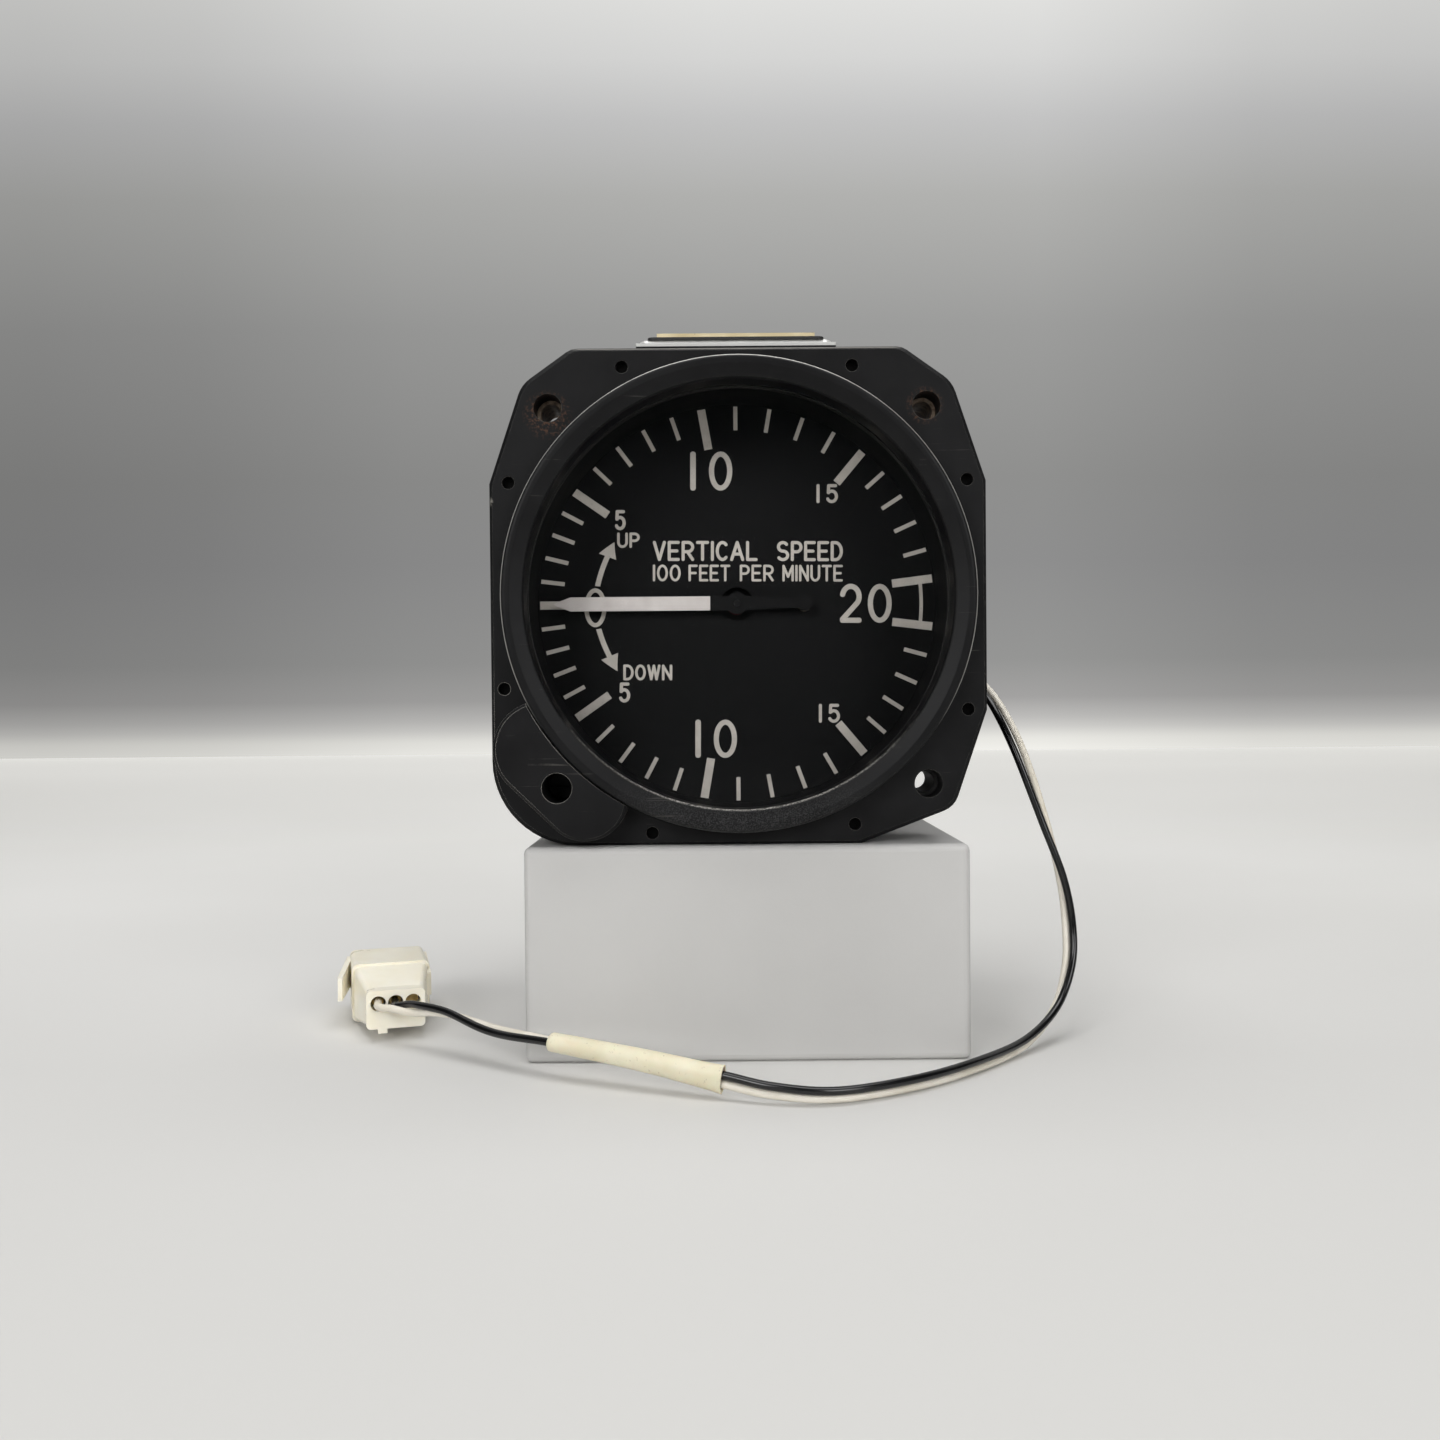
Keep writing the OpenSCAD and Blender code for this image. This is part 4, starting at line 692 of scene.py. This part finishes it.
for text, x0, x1, z, high, thick in (
        ("VERTICAL", -15.1, 3.7, 9.5, 3.6, 0.55), ("SPEED", 7.1, 19.0, 9.5, 3.6, 0.55),
        ("100", -15.1, -10.1, 5.55, 3.0, 0.43), ("FEET", -8.7, -1.2, 5.55, 3.0, 0.43),
        ("PER", 0.5, 6.6, 5.55, 3.0, 0.43), ("MINUTE", 8.15, 19.0, 5.55, 3.0, 0.43),
        ("UP", -21.5, -17.45, 11.4, 2.75, 0.46), ("DOWN", -20.4, -11.6, -12.3, 2.85, 0.46),
        ("1", -8.4, -7.4, 23.8, 7.0, 1.0), ("0", -5.05, -0.85, 23.8, 7.0, 0.92),
        ("1", -7.45, -6.45, -24.2, 6.9, 1.0), ("0", -4.15, 0.05, -24.2, 6.9, 0.92),
        ("2", 18.5, 22.4, 0.15, 7.0, 0.92), ("0", 23.5, 27.8, 0.15, 7.0, 0.92),
        ("1", 14.25, 14.8, 19.8, 3.4, 0.55), ("5", 16.0, 18.1, 19.8, 3.4, 0.55),
        ("1", 14.75, 15.3, -19.6, 3.4, 0.55), ("5", 16.45, 18.55, -19.6, 3.4, 0.55),
        ("5", -21.9, -19.95, 15.0, 3.6, 0.58), ("5", -21.15, -19.15, -15.9, 3.6, 0.58),
        ("0", -27.4, -23.4, -0.7, 7.0, 0.75)):
    write(text, x0, x1, z, high, thick)

# Strokes that cross differ in height by a little, so that no two faces lie in one plane
lift_step, lift_steps = 0.0015 * mm, 7
points, faces, count = [], [], 0
for k, (path, thick) in enumerate(strokes):
    grid = ribbon(path, thick, (k % lift_steps) * lift_step)
    points.append(grid.reshape(-1, 3))
    faces.append(quads(len(grid), 4, closed=np.allclose(path[0], path[-1])) + count)
    count += grid.shape[0] * 4
piece("dial_lettering", np.concatenate(points), np.concatenate(faces).tolist(), ink_mat,
      "instrument", smooth=False)

# The two arrows are bands about the dial's centre, drawing in a little, with three-cornered heads:
# their start, the head's foot and its tip are in degrees
band_rows, head_rows, band_half, head_half, tip_half = 24, 6, 0.46, 1.65, 0.02
arrow_r0, arrow_r1 = 25.2, 24.6
for name, (start, foot, tip) in (
        ("arrow_up", (172.8, 160.0, 153.4)), ("arrow_down", (190.3, 202.4, 209.3))):
    angle = np.radians(np.concatenate([
        np.linspace(start, foot, band_rows), np.linspace(foot, tip, head_rows)]))
    half = np.concatenate([
        np.full(band_rows, band_half), np.linspace(head_half, tip_half, head_rows)]) * mm
    r = np.linspace(arrow_r0, arrow_r1, band_rows + head_rows) * mm
    columns = []
    for k, y in ((1, dial_y), (1, dial_y - ink_t), (-1, dial_y - ink_t), (-1, dial_y)):
        across = np.column_stack([(r + k * half) * np.cos(angle), (r + k * half) * np.sin(angle)])
        columns.append(np.insert(across @ upright, 1, y, axis=1))
    skin = quads(band_rows + head_rows, 4)
    if name == "arrow_down":
        skin = skin[:, ::-1]
    piece(name, np.stack(columns, 1), skin.tolist(), ink_mat, "instrument", smooth=False)

# --- Pointer ---
# A stamped aluminium hand on the end of the staff, between dial and glass. From its hub back over
# the tail disc it is painted black, so that only the blade reads.

# Flat white paint shows as an even bright blade against the dial, and flat black as nothing
tail_x = -4.8 * mm
pointer_mat, tree, shader, place = coated(
    "pointer paint", "#e2dbd7", "#efe9e5", rough=0.5, grain=0.3, deep=0.004, patch=3,
    Specular_IOR_Level=0.15)
tail = add(tree, "Math", {
    0: add(tree, "SeparateXYZ", {"Vector": place}, "X"), 1: tail_x}, operation="GREATER_THAN")
feed(tree, shader, Base_Color=add(
    tree, "Mix", {"Factor": tail, 6: base_of(shader), 7: "#0d0d0e"}, 2, data_type="RGBA"))
dress(pointer_mat, "pointer")

# Chemically blacked brass looks like a dull black skin with a trace of shine
blacked = coated(
    "blacked brass", "#0c0c0d", "#141312", rough=0.55, grain=0.2, deep=0.003, patch=1.5,
    Specular_IOR_Level=0.15)[0]
dress(blacked, "pointer_hub")

# --- Case ---
# The pressure case and its rear cover are castings in the same enamel, held by black steel screws.
# A brass fitting at the back takes the static line.

# At the lip round the lamp bay on top the case is painted pale: a painted highlight, a pale line
bay_lip = 43 * mm
case_mat, tree, shader, place = enamel("black enamelled case", "#101011", "#18181a", rough=0.55)
lip = add(tree, "MapRange", {
    "Value": add(tree, "SeparateXYZ", {"Vector": place}, "Z"),
    "From Min": bay_lip - 0.1 * mm, "From Max": bay_lip})
feed(tree, shader, Base_Color=add(
    tree, "Mix", {"Factor": lip, 6: base_of(shader), 7: "#d0d0cd"}, 2, data_type="RGBA"))
dress(case_mat, "case_body", "rear_cover")

# Oiled black steel has a low shine; the dry oxide on the case screws stays dead black in its holes
oiled_steel = coated(
    "blackened steel", "#0e0e0f", "#1c1c1d", rough=0.4, grain=0.3, deep=0.004, patch=0.8,
    Specular_IOR_Level=0.3)[0]
dress(oiled_steel, "cover_screws")
dry_steel = coated(
    "black oxided screw", "#040404", "#0a0a0a", rough=0.6, grain=0.3, deep=0.004, patch=0.8,
    Specular_IOR_Level=0.05)[0]
dress(dry_steel, "case_screws")

# Turned brass under lacquer: a warm bright gold that is browner where the lacquer has thinned
brass = metal("lacquered brass", "#b8964e", "#8a6d34", rough=0.28, patch=4)
dress(brass, "static_port")

# --- Lamp bay ---
# Small lamps in brass sockets stand in a bay on top of the case. An aluminium plate closes it, with
# black cloth tape on it and a gold foil label on the tape.

# Thin clear glass shows a pale glint, and nickel on the sockets a warm grey one
lamp_mat = coated(
    "clear lamp glass", "#cfc8ba", "#ddd6c8", rough=0.08, grain=0.5, deep=0.0005, patch=2, Alpha=0.5)[0]
dress(lamp_mat, "lamps")
dress(metal("nickelled lamp socket", "#a3a09a", "#7d7466", rough=0.3, patch=1.5), "lamp_sockets")

# Etched aluminium is near white and spreads its highlights; its sheared edges are rounded
plate_mat, tree, shader, place = coated(
    "satin aluminium", "#e4e4e1", "#f2f2ef", rough=0.36, grain=0.5, deep=0.006, patch=3, Metallic=0.35)
edged(tree, shader, 0.35)
dress(plate_mat, "bay_cover")

# Waxed cloth has a weave too fine to show from here, drawn as a 0.25 mm grain on dull black
tape_mat = coated("black cloth tape", "#121212", "#1c1b1a", rough=0.6, grain=0.25, deep=0.02, patch=2)[0]
dress(tape_mat, "label_tape")

# Gold foil is pale and half mirror, with dark flecks where it has been rubbed through
foil_mat, tree, shader, place = coated(
    "gold foil", "#d9c79c", "#e8dab6", rough=0.35, grain=0.5, deep=0.006, patch=5, Metallic=0.4)
flecks = specks(tree, place, 1.3, 0.66, 0.72)
feed(tree, shader, Base_Color=add(
    tree, "Mix", {"Factor": flecks, 6: base_of(shader), 7: "#4a3c24"}, 2, data_type="RGBA"))
dress(foil_mat, "gold_label")

# --- Movement ---
# Lacquered brass plates and wheels on polished steel arbors in ruby bearings, behind the dial. The
# leak beside them is a fine glass capillary in a brass body.
dress(brass, "rear_plate", "pillars", "counterweight", "pinion", "sector_gear",
      "capsule_base", "restrictor")

# Polished steel is a cool bright grey; the staff is blacked where it stands out of the dial
steel = metal("polished steel", "#a6a8ab", "#7c7e82", rough=0.22, patch=3)
dress(steel, "plate_screws", "sector_shaft", "short_lever_arm", "rocking_shaft", "drive_arm",
      "capsule_arm", "rocker_bracket", "capsule_post", "zero_lever", "zero_stud")
staff_mat, tree, shader, place = coated(
    "staff steel", "#77797c", "#9a9c9f", rough=0.3, grain=0.3, deep=0.002, patch=2)
front = add(tree, "Math", {
    0: add(tree, "SeparateXYZ", {"Vector": place}, "Y"), 1: dial_y}, operation="LESS_THAN")
feed(tree, shader,
     Base_Color=add(tree, "Mix", {"Factor": front, 6: base_of(shader), 7: "#0c0c0d"}, 2, data_type="RGBA"),
     Metallic=add(tree, "Math", {0: 1.0, 1: front}, operation="SUBTRACT"))
dress(staff_mat, "pointer_staff")

# What the access hole shows is coloured black, a painted shade, so that nothing shines behind it
dress(blacked, "front_plate", "zero_screw", "zero_bush", "zero_pinion")

# Synthetic ruby is a clear red with a hard shine, darkened here as painted shade, and drawn glass a pale
# green line
ruby = coated(
    "synthetic ruby", "#2e060d", "#4a0c17", rough=0.1, grain=0.4, deep=0.0005, patch=0.6)[0]
dress(ruby, "jewel_bearings")
thin_glass = coated(
    "drawn glass", "#b9c9c6", "#d3dedb", rough=0.05, grain=0.5, deep=0.0005, patch=2, Alpha=0.4)[0]
dress(thin_glass, "capillary_tube")

# --- Diaphragm capsule ---
# Two corrugated beryllium copper shells, soldered at the rim. The back boss is fixed on its base and
# the front boss goes with the post; here the two are one closed shell that keeps its rest shape.
capsule_front, capsule_back, capsule_r, boss_r = 55.4 * mm, 61.4 * mm, 20 * mm, 2.4 * mm
wave_h, wave_count, half_rim, half_edge, fillet = 0.5 * mm, 4, 0.8 * mm, 0.3 * mm, 0.4 * mm
shell_rows, lathe_sides = 49, 96
capsule_middle = (capsule_front + capsule_back) / 2
radii = np.linspace(boss_r, capsule_r - fillet, shell_rows)
u = (radii - boss_r) / (capsule_r - boss_r)
# How far a shell's face lies inside its boss: deeper by the cube of u to the rim, with fading waves
inward = ((capsule_middle - capsule_front - half_rim) * u ** 3
          + wave_h / 2 * (1 - np.cos(2 * np.pi * wave_count * u)) * (1 - u))
profile = np.concatenate([
    np.stack([radii, capsule_front + inward], -1),
    [[capsule_r, capsule_middle - half_edge], [capsule_r, capsule_middle + half_edge]],
    np.stack([radii, capsule_back - inward], -1)[::-1]])
a = 2 * np.pi * np.arange(lathe_sides) / lathe_sides
r, y = profile[:, :1], profile[:, 1:]
skin = np.stack(np.broadcast_arrays(r * np.cos(a), y, r * np.sin(a)), -1)
bosses = [list(range(lathe_sides)), list(range(skin[..., 0].size))[::-1][:lathe_sides]]

# Fresh beryllium copper is a rosy gold with fine turning marks
bronze = metal("beryllium copper", "#c79c62", "#96703f", rough=0.28, patch=5)
shells = quads(len(profile), lathe_sides, around=True)[:, ::-1].tolist()
capsule = piece("capsule_shells", skin, shells + bosses, bronze)
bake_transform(capsule)
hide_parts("capsule")
